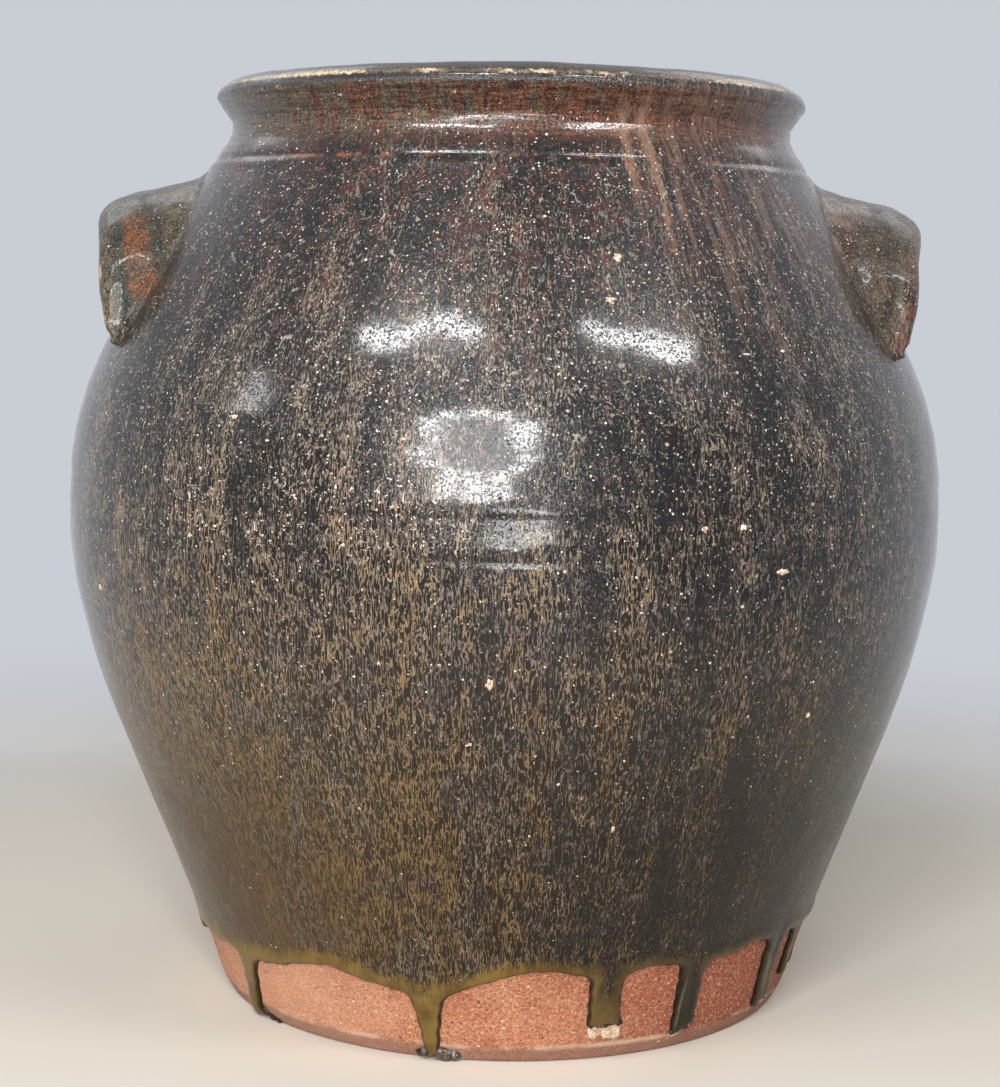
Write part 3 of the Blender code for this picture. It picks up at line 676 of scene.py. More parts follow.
class Graph:
    """A material's nodes, built by short calls."""

    def __init__(self, name):
        self.material = bpy.data.materials.new(name)
        self.material.use_nodes = True
        self.tree = self.material.node_tree
        self.shader = self.tree.nodes["Principled BSDF"]

    def link(self, value, socket):
        if isinstance(value, bpy.types.NodeSocket):
            self.tree.links.new(value, socket)
        else:
            socket.default_value = value

    def math(self, operation, a, b=0.0, c=0.0, clamp=False):
        node = self.tree.nodes.new("ShaderNodeMath")
        node.operation, node.use_clamp = operation, clamp
        for value, socket in zip((a, b, c), node.inputs):
            self.link(value, socket)
        return node.outputs[0]

    def add(self, *terms):
        total = terms[0]
        for term in terms[1:]:
            total = self.math("ADD", total, term)
        return total

    def times(self, a, b):
        return self.math("MULTIPLY", a, b)

    def ramp(self, value, low, high, start=0.0, end=1.0):
        """A smooth step from start at low to end at high."""
        node = self.tree.nodes.new("ShaderNodeMapRange")
        node.interpolation_type = "SMOOTHSTEP"
        for socket, number in zip(node.inputs[:5], (value, low, high, start, end)):
            self.link(number, socket)
        return node.outputs[0]

    def vector(self, x, y, z):
        node = self.tree.nodes.new("ShaderNodeCombineXYZ")
        for value, socket in zip((x, y, z), node.inputs):
            self.link(value, socket)
        return node.outputs[0]

    def noise(self, vector, scale, detail=2.0, rough=0.5):
        node = self.tree.nodes.new("ShaderNodeTexNoise")
        self.link(vector, node.inputs["Vector"])
        for key, number in (("Scale", scale), ("Detail", detail), ("Roughness", rough)):
            node.inputs[key].default_value = number
        return node.outputs["Fac"]

    def dots(self, vector, scale, size, share):
        """Round spots of a random few cells: share is how many of them have one."""
        node = self.tree.nodes.new("ShaderNodeTexVoronoi")
        self.link(vector, node.inputs["Vector"])
        node.inputs["Scale"].default_value = scale
        parts = self.tree.nodes.new("ShaderNodeSeparateColor")
        self.link(node.outputs["Color"], parts.inputs[0])
        chosen = self.math("LESS_THAN", parts.outputs[0], share)
        width = self.times(self.math("ADD", self.times(parts.outputs[1], 0.9), 0.35), size)
        spot = self.math("SUBTRACT", width, node.outputs["Distance"])
        spot = self.ramp(spot, 0.0, size * 0.35)
        return self.times(spot, chosen), parts.outputs[2]

    def mix(self, share, a, b):
        node = self.tree.nodes.new("ShaderNodeMix")
        node.data_type = "RGBA"
        self.link(share, node.inputs[0])
        self.link(a, node.inputs[6])
        self.link(b, node.inputs[7])
        return node.outputs[2]

    def attribute(self, name):
        node = self.tree.nodes.new("ShaderNodeAttribute")
        node.attribute_name = name
        return node.outputs["Fac"]

    def warped(self, vector, scale, amount):
        """The coordinates pushed about by noise."""
        node = self.tree.nodes.new("ShaderNodeTexNoise")
        self.link(vector, node.inputs["Vector"])
        node.inputs["Scale"].default_value = scale
        moved = self.tree.nodes.new("ShaderNodeVectorMath")
        moved.operation = "MULTIPLY_ADD"
        self.link(node.outputs["Color"], moved.inputs[0])
        moved.inputs[1].default_value = (amount,) * 3
        self.link(vector, moved.inputs[2])
        return moved.outputs[0]

    def beside(self, angle):
        """Distance in mm from the meridian at an angle, measured square to it."""
        a = math.radians(angle)
        return self.add(self.times(self.x, math.cos(a)), self.times(self.y, math.sin(a)))

    def place(self):
        """Object coordinates in mm, the radius, and coordinates that follow the wall's meridians."""
        node = self.tree.nodes.new("ShaderNodeTexCoord")
        scale = self.tree.nodes.new("ShaderNodeVectorMath")
        scale.operation = "SCALE"
        self.link(node.outputs["Object"], scale.inputs[0])
        scale.inputs["Scale"].default_value = 1 / MM
        parts = self.tree.nodes.new("ShaderNodeSeparateXYZ")
        self.link(scale.outputs[0], parts.inputs[0])
        self.mm = scale.outputs[0]
        self.x, self.y, self.z = parts.outputs
        square = self.add(self.times(self.x, self.x), self.times(self.y, self.y))
        self.radius = self.math("MAXIMUM", self.math("SQRT", square), 0.5)
        self.east = self.math("DIVIDE", self.x, self.radius)
        self.north = self.math("DIVIDE", self.y, self.radius)

    def streaks(self, stretch, turn=150.0, sway=0.0):
        """Meridian coordinates, with the height squeezed so that noise draws down the wall."""
        x, y = self.times(self.east, turn), self.times(self.north, turn)
        return self.vector(self.math("ADD", x, sway), self.math("ADD", y, sway), self.times(self.z, 1 / stretch))

    def flow(self, stretch, sway=0.0):
        """The same in plain coordinates, for surfaces that don't follow the wall."""
        x, y = self.math("ADD", self.x, sway), self.math("ADD", self.y, sway)
        return self.vector(x, y, self.times(self.z, 1 / stretch))


    def bump(self, height, distance, strength=1.0, after=None):
        node = self.tree.nodes.new("ShaderNodeBump")
        node.inputs["Strength"].default_value = strength
        node.inputs["Distance"].default_value = distance * MM
        self.link(height, node.inputs["Height"])
        if after is not None:
            self.link(after, node.inputs["Normal"])
        return node.outputs[0]


def glaze_material(name, lug=None):
    """Dark runny glaze: a fine net of threads down the wall, redder above, olive below, specked."""
    g = Graph(name)
    g.place()
    down = g.flow if lug else g.streaks
    sway = g.times(g.math("SUBTRACT", g.noise(down(2.0), 0.17, 2.0), 0.5), 3.0)
    line = g.noise(down(6.5, sway=sway), 1.02, 2.0, 0.55)
    line = g.ramp(g.math("ABSOLUTE", g.math("SUBTRACT", line, 0.5)), 0.085, 0.010)
    fine = g.noise(down(5.0, sway=sway), 2.5, 2.0, 0.6)
    short = g.noise(down(2.2, sway=sway), 1.5, 3.0, 0.65)
    upper = g.ramp(g.z, 150.0, 270.0)
    threads = g.add(g.times(line, 0.36), g.times(fine, 0.64))
    grains = g.add(g.times(line, 0.12), g.times(short, 0.92))
    threads = g.add(g.times(threads, g.math("SUBTRACT", 1.0, upper)), g.times(grains, upper))
    small = g.noise(down(2.6), 0.16, 4.0, 0.65)
    wide = g.noise(down(5.0), 0.060, 3.0, 0.55)
    cloud = g.noise(g.mm, 0.05, 4.0, 0.6)
    blotch = g.noise(g.mm, 0.20, 3.0, 0.6)
    grain = g.noise(g.mm, 1.7, 2.0, 0.6)
    low = g.ramp(g.z, 250.0, 60.0)
    high = g.ramp(g.z, 215.0, 345.0)

    # Tone of the threads: grey-tan and paler on the shoulder as painted glints, with olive bands, violet-grey clouds
    # that thicken towards the right as a painted sheen, and rust blotches
    tone = g.mix(g.ramp(small, 0.36, 0.64), linear(114, 104, 94), linear(130, 109, 83))
    # Painted glints: the threads' tone turns paler on the shoulder.
    tone = g.mix(g.times(upper, 0.6), tone, linear(148, 137, 124))
    olive = g.add(wide, g.times(low, 0.10), g.times(g.east, -0.05))
    olive = g.times(g.ramp(olive, 0.52, 0.66, 0.0, 0.75), g.ramp(g.z, 230.0, 90.0, 0.34, 1.0))
    tone = g.mix(olive, tone, linear(110, 84, 42))
    # The violet-grey clouds are the glaze's own, and their share rising towards the right is a painted sheen.
    violet_and_sheen = g.add(cloud, g.times(g.east, 0.10))
    tone = g.mix(g.ramp(violet_and_sheen, 0.50, 0.64, 0.0, 0.7), tone, linear(96, 84, 86))
    rust = g.add(g.times(high, 0.16), g.times(blotch, 0.7), g.times(small, 0.3))
    rust = g.ramp(rust, 0.61, 0.73, 0.0, 0.85)
    tone = g.mix(rust, tone, linear(100, 50, 38))
    dark = g.mix(g.ramp(cloud, 0.35, 0.65), linear(5, 4, 4), linear(13, 11, 10))
    dark = g.mix(g.times(rust, 0.8), dark, linear(46, 19, 15))
    # The dark base turns browner low down, most on the left: partly the glaze's own colour, partly painted light.
    dark = g.mix(g.times(low, g.ramp(g.east, 0.5, -0.7, 0.25, 0.9)), dark, linear(44, 34, 20))
    # Painted shade: the light threads thin out low on the right, so the wall darkens there.
    amount = g.add(g.times(g.math("SUBTRACT", wide, 0.5), 0.45), g.times(g.times(g.east, low), -0.20))
    amount = g.add(amount, g.times(g.math("SUBTRACT", small, 0.5), 0.3), g.times(high, -0.05))
    color = g.mix(g.ramp(g.add(threads, amount), 0.49, 0.74), dark, tone)
    # Painted shade: dark lines in the two throwing grooves of the belly.
    rings = g.times(g.ramp(g.z, 194.0, 196.5), g.ramp(g.z, 199.0, 197.0))
    rings = g.math("MAXIMUM", rings, g.times(g.ramp(g.z, 208.5, 210.5), g.ramp(g.z, 212.5, 211.0)))
    color = g.mix(g.times(rings, g.ramp(cloud, 0.40, 0.60, 0.25, 0.65)), color, linear(16, 12, 11))

    # Smoother brown-ochre low on the left
    pool = g.times(g.ramp(g.east, -0.10, -0.75), g.ramp(g.add(g.z, g.times(wide, 60.0)), 190.0, 90.0))
    color = g.mix(g.times(pool, g.ramp(small, 0.30, 0.60, 0.35, 0.85)), color, linear(64, 45, 21))

    # The neck, granular and rusty, with painted shade under the lip, strands and two tan trickles running from it on
    # the right
    combed = g.noise(down(2.6, sway=sway), 0.75, 4.0, 0.7)
    if not lug:
        neck = g.times(g.ramp(g.z, 335.0, 346.0), g.ramp(g.z, 361.0, 358.8))
        turned = g.noise(g.vector(g.times(g.x, 0.12), g.times(g.y, 0.12), g.z), 1.1, 3.0, 0.6)
        mottle = g.add(g.times(combed, 0.4), g.times(grain, 0.5), g.times(turned, 0.35))
        neck_color = g.mix(g.ramp(mottle, 0.54, 0.76), linear(18, 12, 10), linear(124, 78, 54))
        neck_color = g.mix(g.ramp(g.add(small, g.times(g.east, -0.12)), 0.50, 0.64, 0.0, 0.8), neck_color,
                           g.mix(g.ramp(mottle, 0.55, 0.75), linear(40, 38, 30), linear(104, 98, 76)))
        color = g.mix(g.times(neck, g.ramp(grain, 0.25, 0.6, 0.6, 1.0)), color, neck_color)
        groove = g.times(g.ramp(g.z, 332.3, 333.1), g.ramp(g.z, 334.2, 333.5))
        color = g.mix(g.times(groove, g.ramp(small, 0.50, 0.62, 0.0, 0.7)), color, linear(134, 80, 54))
        # Painted shade: a dark band round the lip, just below its arris.
        under = g.times(g.ramp(g.z, 358.4, 359.6), g.ramp(g.z, 362.4, 361.4))
        color = g.mix(g.times(under, 0.7), color, linear(34, 32, 27))
        strands = g.ramp(g.noise(g.streaks(14.0, sway=sway), 0.42, 3.0, 0.6), 0.50, 0.62)
        strands = g.times(strands, g.times(g.ramp(g.z, 245.0, 315.0), g.ramp(g.east, 0.28, 0.52)))
        color = g.mix(g.times(strands, 0.6), color, linear(104, 82, 68))
        broken = g.times(g.math("SUBTRACT", g.noise(down(2.2), 0.55, 4.0, 0.7), 0.5), 2.6)
        for angle, bottom, width in ((20.6, 304.0, 1.4), (24.8, 288.0, 1.7)):
            run = g.math("DIVIDE", g.add(g.beside(angle), g.times(sway, 1.9)), g.ramp(g.z, 300.0, 345.0, width, 3.6))
            run = g.math("POWER", 2.0, g.times(g.times(run, run), -1.5))
            run = g.ramp(g.add(run, broken), 0.42, 1.1)
            run = g.times(g.times(run, g.ramp(g.y, 0.0, -40.0)), g.ramp(g.z, bottom, bottom + 30.0))
            run = g.times(run, g.ramp(g.z, 358.0, 350.0, 0.0, 0.8))
            color = g.mix(run, color, g.mix(grain, linear(84, 60, 46), linear(150, 116, 92)))

    # Specks and flecks, densest on the shoulder and in a scuffed band of the belly that carries a painted sparkle, and
    # pits; the tiny pale specks are partly painted glints
    # A band round the belly's front left: scuffing, where more pale specks and curls are painted as a sparkle of
    # reflected light.
    scuffs_and_sparkle = g.times(g.ramp(g.z, 186.0, 204.0), g.ramp(g.z, 234.0, 216.0))
    scuffs_and_sparkle = g.times(scuffs_and_sparkle, g.times(g.ramp(g.east, 0.1, -0.2), g.ramp(g.east, -0.85, -0.6)))
    scuffs_and_sparkle = g.times(scuffs_and_sparkle, g.ramp(wide, 0.40, 0.55))
    share = g.add(g.ramp(g.z, 70.0, 270.0, 0.04, 0.62), g.times(scuffs_and_sparkle, 0.5))
    share = g.times(share, g.ramp(g.z, 350.0, 336.0, 0.35, 1.0))
    share = g.times(share, g.ramp(blotch, 0.35, 0.60, 0.5, 1.4))
    share = g.add(share, lug["specks"] if lug else 0.0)
    pushed = g.warped(g.mm, 0.9, 1.3)
    # The tiny pale specks are partly the glaze's own pale grains and partly painted glints.
    tiny, tiny_tone = g.dots(pushed, 0.80, 0.29, share)
    pale = g.mix(g.ramp(tiny_tone, 0.2, 0.6), linear(226, 212, 190), linear(120, 106, 90))
    pale = g.mix(g.times(g.ramp(tiny_tone, 0.76, 0.78), g.ramp(g.z, 120.0, 230.0, 0.3, 1.0)), pale, linear(150, 90, 60))
    color = g.mix(g.times(tiny, 0.9), color, pale)
    fleck, fleck_tone = g.dots(pushed, 0.24, 0.15, g.ramp(g.z, 90.0, 300.0, 0.05, 0.30))
    color = g.mix(g.times(fleck, 0.9), color, g.mix(fleck_tone, linear(216, 200, 172), linear(140, 72, 46)))
    for spot in (g.mm, g.vector(g.z, g.x, g.y)):
        curl = g.noise(g.warped(spot, 0.06, 10.0), 0.14, 1.0)
        curl = g.ramp(g.math("ABSOLUTE", g.math("SUBTRACT", curl, 0.5)), 0.013, 0.005)
        curl = g.times(curl, g.ramp(g.noise(spot, 0.42, 2.0), 0.56, 0.62))
        curl = g.times(curl, g.add(g.times(scuffs_and_sparkle, 0.9), g.times(g.times(upper, g.ramp(g.z, 340.0, 325.0)), 0.35)))
        color = g.mix(curl, color, linear(206, 194, 178))
    pits, _ = g.dots(g.warped(g.vector(g.y, g.z, g.x), 0.7, 1.4), 0.50, 0.22, 0.42)
    color = g.mix(g.times(pits, 0.85), color, linear(7, 6, 6))

    # The smooth band over the edge, with a dark outline where the glaze ends
    depth = g.attribute("edge_mm")
    ragged = g.add(g.times(small, 6.0), g.times(threads, 4.0), g.times(g.east, -2.2))
    band = g.ramp(g.math("SUBTRACT", depth, ragged), 2.8, -1.8)
    band = g.math("MAXIMUM", band, g.ramp(g.z, 31.0, 26.0))
    band_color = g.mix(g.ramp(g.add(cloud, g.times(small, 0.5)), 0.60, 0.90),
                       linear(82, 61, 24), linear(112, 90, 42))
    band_color = g.mix(g.ramp(g.east, 0.10, 0.5, 0.0, 0.72), band_color, linear(40, 33, 19))
    if not lug:
        off = g.beside(34.6)
        fourth = g.times(g.ramp(g.math("ABSOLUTE", off), 7.5, 5.5), g.ramp(g.y, 0.0, -40.0))
        # Painted highlight: a pale line down the left side of the fourth run.
        inner = g.ramp(g.math("ABSOLUTE", g.math("ADD", off, 2.4)), 0.9, 0.3, 0.0, 0.7)
        fourth_color = g.mix(inner, linear(22, 22, 14), linear(98, 90, 62))
        band_color = g.mix(g.times(fourth, g.ramp(g.z, 36.0, 27.0, 0.0, 0.85)), band_color, fourth_color)
    color = g.mix(g.times(band, 0.94), color, band_color)
    color = g.mix(g.ramp(depth, 1.6, 0.6, 0.0, 0.9), color, linear(24, 16, 8))
    calm = g.ramp(band, 0.1, 1.0, 1.0, 0.12)

    if lug:
        front, inset = g.attribute("front"), g.attribute("inset")
        veil = g.ramp(g.add(g.times(fine, 0.7), g.times(small, 0.4)), 0.48, 0.66, 0.0, 0.75)
        color = g.mix(veil, color, lug["veil"])
        valley = g.times(g.ramp(inset, 5.0, 7.5), g.ramp(inset, 24.0, 20.0))
        color = g.mix(g.times(valley, g.ramp(grain, 0.3, 0.6, 0.7, 0.3)), color, linear(24, 32, 28))
        inset = g.add(inset, g.times(g.math("SUBTRACT", g.noise(g.mm, 0.16, 3.0), 0.5), 4.5))
        start, end = lug["strip"]
        strip = g.times(g.ramp(inset, start - 1.0, start + 1.0), g.ramp(inset, end + 1.0, end - 1.0))
        strip = g.times(strip, g.times(g.ramp(front, *lug["from"]), g.ramp(front, *lug["to"])))
        strip = g.times(strip, g.ramp(g.add(g.times(cloud, 0.4), g.times(short, 0.6)), 0.42, 0.58, 0.0, 0.85))
        color = g.mix(strip, color, g.mix(g.ramp(grain, 0.44, 0.64), lug["dark"], lug["light"]))
        worn = g.times(g.ramp(inset, *lug["edge"]), g.ramp(g.noise(g.mm, 0.13, 3.0), 0.53, 0.58))
        color = g.mix(g.times(worn, g.ramp(front, *lug["edge_from"])), color, lug["worn"])

    # The lip's arris, worn through to the clay in patches
    edge_z = g.add(g.z, g.times(g.math("SUBTRACT", g.noise(g.streaks(1.0), 0.55, 4.0, 0.75), 0.5), 4.4))
    arris = g.times(g.ramp(edge_z, 361.9, 362.5), g.ramp(edge_z, 363.8, 363.2))
    arris = g.times(arris, g.ramp(g.radius, 110.0, 113.0))
    patch = g.add(g.noise(g.streaks(1.0), 0.06, 3.0, 0.6), g.times(grain, 0.30))
    arris = g.times(arris, g.ramp(patch, 0.61, 0.72, 0.12, 1.0))
    roll = g.times(g.ramp(g.z, 363.4, 364.6), g.ramp(g.radius, 98.0, 100.0))
    color = g.mix(g.times(roll, 0.8), color, g.mix(cloud, linear(28, 28, 22), linear(62, 54, 40)))
    color = g.mix(g.times(arris, 0.95), color, g.mix(grain, linear(140, 112, 82), linear(232, 214, 180)))

    g.link(color, g.shader.inputs["Base Color"])
    worn_off = g.add(g.times(arris, 0.4), g.times(fleck, 0.2))
    g.link(g.add(g.ramp(cloud, 0.3, 0.7, 0.28, 0.38), worn_off), g.shader.inputs["Roughness"])
    g.shader.inputs["IOR"].default_value = 1.5
    g.shader.inputs["Specular IOR Level"].default_value = 0.12
    g.shader.inputs["Coat IOR"].default_value = 1.42
    worn_off = g.add(worn_off, g.times(pits, 0.4), g.ramp(g.z, 200.0, 60.0, 0.0, 0.24))
    g.link(g.ramp(worn_off, 0.0, 0.4, 0.45 if lug else 1.0, 0.1), g.shader.inputs["Coat Weight"])
    smear = (0.07, 0.12) if lug else (0.04, 0.085)
    g.link(g.ramp(g.noise(g.mm, 0.03, 3.0, 0.6), 0.3, 0.7, *smear), g.shader.inputs["Coat Roughness"])

    # Relief in mm: raised specks, pits and ridges under the lip; threads and grit lie under the gloss
    grit = g.ramp(g.noise(g.mm, 1.1, 3.0, 0.65), 0.50, 0.68)
    lumps = g.times(g.math("SUBTRACT", g.add(tiny, fleck), g.times(pits, 1.2)), 0.10)
    outer = g.times(g.add(lumps, g.times(threads, 0.018), g.times(grit, 0.036)), calm)
    under = g.times(g.add(g.times(threads, 0.09), g.times(grit, 0.08)), calm)
    if not lug:
        wrinkled = g.times(g.ramp(g.z, 347.5, 352.0), g.ramp(g.z, 361.5, 359.5))
        outer = g.add(outer, g.times(g.times(combed, wrinkled), 0.6))
    g.link(g.bump(outer, 1.0), g.shader.inputs["Coat Normal"])
    g.link(g.bump(g.add(outer, under), 1.0), g.shader.inputs["Normal"])
    return g.material


def chip_material(name):
    """Pale body showing in a blister or a scar."""
    g = Graph(name)
    g.place()
    grain = g.noise(g.mm, 1.1, 3.0, 0.7)
    color = g.mix(g.ramp(grain, 0.38, 0.54), linear(146, 112, 86), linear(232, 216, 192))
    color = g.mix(g.ramp(g.noise(g.mm, 0.02, 1.0), 0.50, 0.54, 0.0, 0.25), color, linear(176, 120, 84))
    g.link(color, g.shader.inputs["Base Color"])
    g.shader.inputs["Roughness"].default_value = 0.55
    g.link(g.bump(grain, 0.5), g.shader.inputs["Normal"])
    return g.material


def glass_material(name):
    """Thick black glass of the run tips, with pale crazed veins."""
    g = Graph(name)
    g.place()
    vein = g.noise(g.mm, 0.8, 4.0, 0.7)
    color = g.mix(g.ramp(vein, 0.40, 0.58), linear(14, 11, 9), linear(40, 32, 20))
    color = g.mix(g.ramp(vein, 0.60, 0.68, 0.0, 0.8), color, linear(176, 160, 134))
    slag = g.mix(g.ramp(vein, 0.35, 0.62), linear(34, 28, 24), linear(100, 86, 72))
    color = g.mix(g.ramp(g.z, 6.4, 5.2, 0.0, 0.85), color, slag)
    g.link(color, g.shader.inputs["Base Color"])
    g.shader.inputs["Roughness"].default_value = 0.07
    g.link(g.bump(g.noise(g.mm, 0.7, 2.0), 0.6), g.shader.inputs["Normal"])
    return g.material


def clay_material(name):
    """Bare stoneware: orange, gritty, greyer on the foot's chamfer, with painted shade darkening it to the right and
    painted light paling it to the left.
    """
    g = Graph(name)
    g.place()
    cloud = g.noise(g.mm, 0.05, 4.0, 0.6)
    grain = g.noise(g.mm, 1.0, 4.0, 0.8)
    coarse = g.noise(g.mm, 0.50, 3.0, 0.65)
    color = g.mix(g.ramp(cloud, 0.35, 0.65), linear(204, 125, 87), linear(223, 151, 112))
    # Painted shade: the clay turns a darker terracotta towards the right.
    color = g.mix(g.ramp(g.east, 0.02, 0.70, 0.0, 0.9), color, linear(160, 80, 51))
    color = g.mix(g.ramp(grain, 0.49, 0.38, 0.0, 0.75), color, linear(108, 50, 32))
    color = g.mix(g.ramp(coarse, 0.52, 0.68, 0.0, 0.45), color, linear(226, 168, 130))
    color = g.mix(g.ramp(grain, 0.55, 0.64, 0.0, 0.8), color, linear(246, 212, 180))
    # Painted light: the clay turns paler towards the left.
    color = g.mix(g.ramp(g.east, -0.15, -0.65, 0.0, 0.45), color, linear(236, 180, 146))
    chamfer = g.ramp(g.add(g.z, g.times(coarse, 2.0)), 8.0, 6.2)
    color = g.mix(g.times(chamfer, 0.75), color, g.mix(grain, linear(134, 92, 76), linear(186, 142, 120)))
    arris = g.times(g.ramp(g.z, 4.8, 6.2), g.ramp(g.z, 8.0, 6.8))
    color = g.mix(g.times(arris, g.ramp(cloud, 0.42, 0.58, 0.0, 0.75)), color, linear(234, 204, 176))
    grit, tone = g.dots(g.warped(g.mm, 0.9, 0.9), 0.34, 0.22, 0.22)
    color = g.mix(g.times(grit, 0.85), color, g.mix(g.ramp(tone, 0.7, 0.8), linear(250, 232, 210), linear(104, 46, 32)))
    g.link(color, g.shader.inputs["Base Color"])
    g.shader.inputs["Roughness"].default_value = 0.8
    g.link(g.bump(g.add(grain, g.times(coarse, 0.5), g.times(grit, 0.3)), 1.8), g.shader.inputs["Normal"])
    return g.material


def lining_material(name):
    """The glaze inside: brown, glossy, calmer than the outside."""
    g = Graph(name)
    g.place()
    cloud = g.noise(g.mm, 0.03, 4.0, 0.6)
    fine = g.noise(g.streaks(5.0, 120.0), 0.5, 3.0, 0.6)
    grain = g.noise(g.mm, 0.8, 3.0, 0.6)
    color = g.mix(g.ramp(cloud, 0.3, 0.7), linear(48, 32, 24), linear(86, 56, 36))
    color = g.mix(g.ramp(fine, 0.45, 0.65, 0.0, 0.6), color, linear(96, 76, 44))
    specks, tone = g.dots(g.mm, 0.25, 0.13, 0.25)
    color = g.mix(g.times(specks, 0.7), color, g.mix(tone, linear(180, 150, 112), linear(30, 20, 16)))
    g.link(color, g.shader.inputs["Base Color"])
    g.link(g.ramp(cloud, 0.3, 0.7, 0.16, 0.30), g.shader.inputs["Roughness"])
    g.shader.inputs["IOR"].default_value = 1.55
    g.link(g.bump(g.add(g.times(fine, 0.5), g.times(grain, 0.4)), 0.25), g.shader.inputs["Normal"])
    return g.material


def dress(item, material, slot, *nodes):
    item.data.materials.clear()
    item.data.materials.append(material)
    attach(item, "root")
    if nodes:
        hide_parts(*nodes)


def build_pieces():
    glaze = glaze_material("dark_glaze_look")
    left_look = glaze_material("left_lug_look", {
        "strip": (10.4, 18.2), "from": (0.66, 0.70), "to": (0.87, 0.82),
        "dark": linear(84, 44, 24), "light": linear(168, 98, 48), "edge": (2.4, 0.4), "edge_from": (0.70, 0.78),
        "specks": 0.10,
        "worn": linear(204, 164, 124), "veil": linear(96, 88, 68)})
    right_look = glaze_material("right_lug_look", {
        "strip": (7.0, 8.6), "from": (0.66, 0.70), "to": (0.93, 0.90),
        "dark": linear(56, 56, 38), "light": linear(104, 102, 70), "edge": (5.5, 2.2), "edge_from": (0.79, 0.83),
        "specks": 0.55,
        "worn": linear(88, 52, 40), "veil": linear(118, 96, 78)})
    clay = clay_material("bare_clay_look")
    lining = lining_material("glaze_lining_look")
    dress(build_outer_coat(), glaze, "dark_glaze", "outer_glaze")
    dress(build_lining(), lining, "glaze_lining", "inner_glaze")
    dress(build_foot(), clay, "bare_clay", "lower_wall")
    for side, sign, seed, look in (("right", 1.0, 3.0, right_look), ("left", -1.0, 11.0, left_look)):
        dress(build_lug(side + "_lug_coat", sign, seed, LUG_SKIN), look, "dark_glaze", "lug_%s_glaze" % side)
        dress(build_lug(side + "_lug_clay", sign, seed, 0.0), clay, "bare_clay", "lug_" + side)
    pale, glass = chip_material("chip_look"), glass_material("glass_look")
    dress(build_lumps("glaze_blisters", CHIPS, coat_radius, 1.0, 0.68), pale, "bare_clay")
    dress(build_lumps("broken_tip_scars", SCARS, clay_radius, 0.5), pale, "bare_clay")
    dress(build_lumps("glass_remains", REMAINS, clay_radius, 0.4), glass, "dark_glaze")
    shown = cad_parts["upper_wall"]
    shown.data.materials.clear()
    shown.data.materials.append(clay)


# Camera, as the photograph was taken
PHOTO_WIDTH, PHOTO_HEIGHT = 1000, 1087
FOCAL_PIXELS = 2200.0
MIDLINE_PIXELS = 4.0
CAMERA_AT = (0.0, -0.9065, 0.29045)
CAMERA_PITCH, CAMERA_ROLL = math.radians(6.9), math.radians(1.05)
SENSOR = 36.0


def add_camera():
    data = bpy.data.cameras.new("photo_camera")
    data.sensor_width = SENSOR
    data.lens = SENSOR * FOCAL_PIXELS / PHOTO_HEIGHT
    data.shift_x = -MIDLINE_PIXELS / PHOTO_HEIGHT
    camera = bpy.data.objects.new("photo_camera", data)
    turn = Euler((math.pi / 2 - CAMERA_PITCH, 0.0, 0.0)).to_matrix().to_4x4()
    camera.matrix_world = Matrix.Translation(CAMERA_AT) @ turn @ Matrix.Rotation(CAMERA_ROLL, 4, "Z")
    bpy.context.scene.collection.objects.link(camera)
    bpy.context.scene.camera = camera


# Soft lamps: angle round from the front, elevation, distance, width, height, roll, power
LAMPS = {
    "bar_left": (-33.0, 52.0, 1.9, 0.90, 0.10, 16.0, 13.0),
    "bar_right": (48.5, 48.5, 1.9, 0.84, 0.10, -25.0, 11.0),
    "ring_middle": (-8.5, 21.0, 1.7, 0.50, 0.50, 0.0, 5.0),
    "side_left": (-76.0, 26.5, 1.9, 0.24, 0.32, 0.0, 2.8),
    "door_low": (4.0, -2.0, 2.2, 0.60, 0.22, 0.0, 6.5),
    "back_left": (-145.0, 38.0, 2.3, 1.0, 0.8, 0.0, 4.0),
    "back_right": (145.0, 38.0, 2.3, 1.0, 0.8, 0.0, 4.0),
}
RING_LAMPS = 12
RING_RADIUS, RING_LAMP_SIZE, RING_LAMP_POWER = 0.40, 0.145, 3.2
LAMP_TARGET = Vector((0.0, -0.12, 0.25))


def add_lamp(name, place, way, width, height, roll, power):
    data = bpy.data.lights.new(name, "AREA")
    data.shape, data.size, data.size_y, data.energy = "RECTANGLE", width, height, power
    lamp = bpy.data.objects.new(name, data)
    turn = (-way).to_track_quat("-Z", "Y").to_matrix().to_4x4() @ Matrix.Rotation(math.radians(roll), 4, "Z")
    lamp.matrix_world = Matrix.Translation(place) @ turn
    lamp.visible_camera = False
    bpy.context.scene.collection.objects.link(lamp)


def lamp_way(angle, rise):
    a, e = math.radians(angle), math.radians(rise)
    return Vector((math.cos(e) * math.sin(a), -math.cos(e) * math.cos(a), math.sin(e)))


def add_lights():
    for name, (angle, rise, away, width, height, roll, power) in LAMPS.items():
        way = lamp_way(angle, rise)
        add_lamp(name, LAMP_TARGET + way * away, way, width, height, roll, power)
    angle, rise, away = LAMPS["ring_middle"][:3]
    way = lamp_way(angle, rise)
    across = Vector((0, 0, 1)).cross(way).normalized()
    up = way.cross(across)
    for index in range(RING_LAMPS):
        turn = math.tau * index / RING_LAMPS
        place = LAMP_TARGET + way * away + (across * math.cos(turn) + up * math.sin(turn)) * RING_RADIUS
        add_lamp("ring_%d" % index, place, way, RING_LAMP_SIZE, RING_LAMP_SIZE, 0.0, RING_LAMP_POWER)


BACKDROP = linear(201, 205, 212)
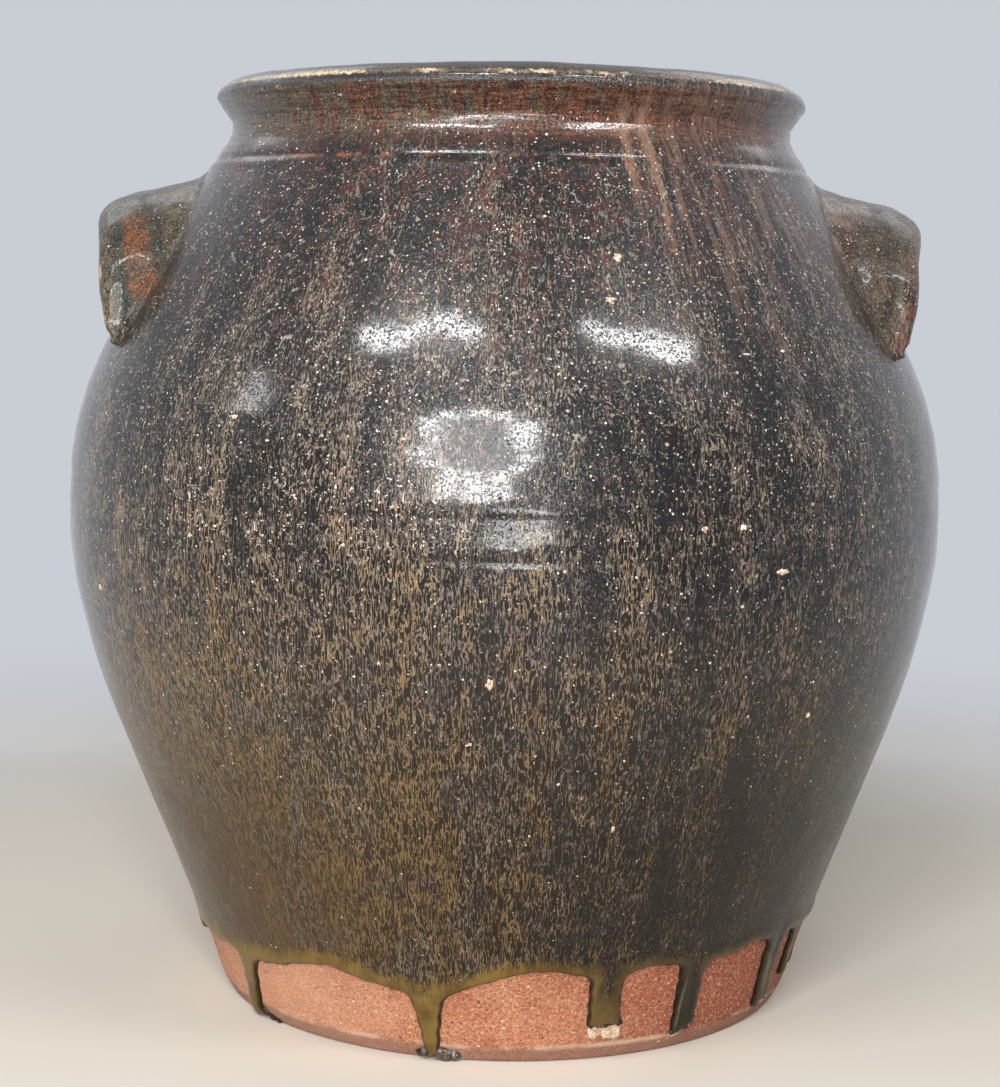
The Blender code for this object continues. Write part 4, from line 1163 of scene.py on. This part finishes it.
# Strength of the world by direction, -Y to +Y: from, to, strength there; as light and as seen
LIGHT_SHADE = (-0.9, 0.35, 0.05, 0.41)
SEEN_SHADE = (-0.8, 0.1, 0.75, 1.0)
FLOOR_NEAR, FLOOR_FAR = linear(206, 198, 186), linear(200, 201, 205)


def seen_directly(tree):
    """1 for rays that show what they meet: from the camera, off something glossy or through glass."""
    path = tree.nodes.new("ShaderNodeLightPath")
    seen = path.outputs["Is Camera Ray"]
    for kind in ("Is Glossy Ray", "Is Transmission Ray"):
        larger = tree.nodes.new("ShaderNodeMath")
        larger.operation = "MAXIMUM"
        tree.links.new(seen, larger.inputs[0])
        tree.links.new(path.outputs[kind], larger.inputs[1])
        seen = larger.outputs[0]
    return seen


def add_world():
    """A pale backdrop behind the jar, darker on the camera's side of the room, and soft light with it."""
    world = bpy.data.worlds.new("studio")
    bpy.context.scene.world = world
    world.use_nodes = True
    tree = world.node_tree
    tree.nodes.clear()
    new, link = tree.nodes.new, tree.links.new
    place, parts = new("ShaderNodeTexCoord"), new("ShaderNodeSeparateXYZ")
    link(place.outputs["Generated"], parts.inputs[0])
    light, seen = new("ShaderNodeBackground"), new("ShaderNodeBackground")
    for background, limits in ((light, LIGHT_SHADE), (seen, SEEN_SHADE)):
        shade = new("ShaderNodeMapRange")
        shade.interpolation_type = "SMOOTHSTEP"
        link(parts.outputs[1], shade.inputs[0])
        for socket, number in zip(shade.inputs[1:5], limits):
            socket.default_value = number
        background.inputs[0].default_value = BACKDROP
        link(shade.outputs[0], background.inputs[1])
    mixer, output = new("ShaderNodeMixShader"), new("ShaderNodeOutputWorld")
    link(seen_directly(tree), mixer.inputs[0])
    link(light.outputs[0], mixer.inputs[1])
    link(seen.outputs[0], mixer.inputs[2])
    link(mixer.outputs[0], output.inputs[0])


def add_floor():
    """Pale and lit near the jar, where its shadow falls; further off it turns into the backdrop."""
    mesh = bpy.data.meshes.new("floor")
    half = 6.0
    mesh.from_pydata([(-half, -half, 0), (half, -half, 0), (half, half, 0), (-half, half, 0)], [], [(0, 1, 2, 3)])
    floor = bpy.data.objects.new("floor", mesh)
    bpy.context.scene.collection.objects.link(floor)
    g = Graph("pale_floor")
    g.place()
    color = g.mix(g.ramp(g.radius, 250.0, 1000.0), FLOOR_NEAR, FLOOR_FAR)
    g.link(color, g.shader.inputs["Base Color"])
    g.shader.inputs["Roughness"].default_value = 0.9
    glow, mixer = (g.tree.nodes.new("ShaderNode" + kind) for kind in ("Emission", "MixShader"))
    glow.inputs[0].default_value = BACKDROP
    g.link(g.ramp(g.north, *SEEN_SHADE), glow.inputs[1])
    g.link(g.times(g.ramp(g.radius, 260.0, 900.0), seen_directly(g.tree)), mixer.inputs[0])
    g.tree.links.new(g.shader.outputs[0], mixer.inputs[1])
    g.tree.links.new(glow.outputs[0], mixer.inputs[2])
    g.tree.links.new(mixer.outputs[0], g.tree.nodes["Material Output"].inputs["Surface"])
    mesh.materials.append(g.material)


def write_sizes():
    bpy.context.view_layer.update()


build_pieces()
add_camera()
add_lights()
add_world()
add_floor()
bpy.context.scene.view_settings.view_transform = "Standard"
write_sizes()
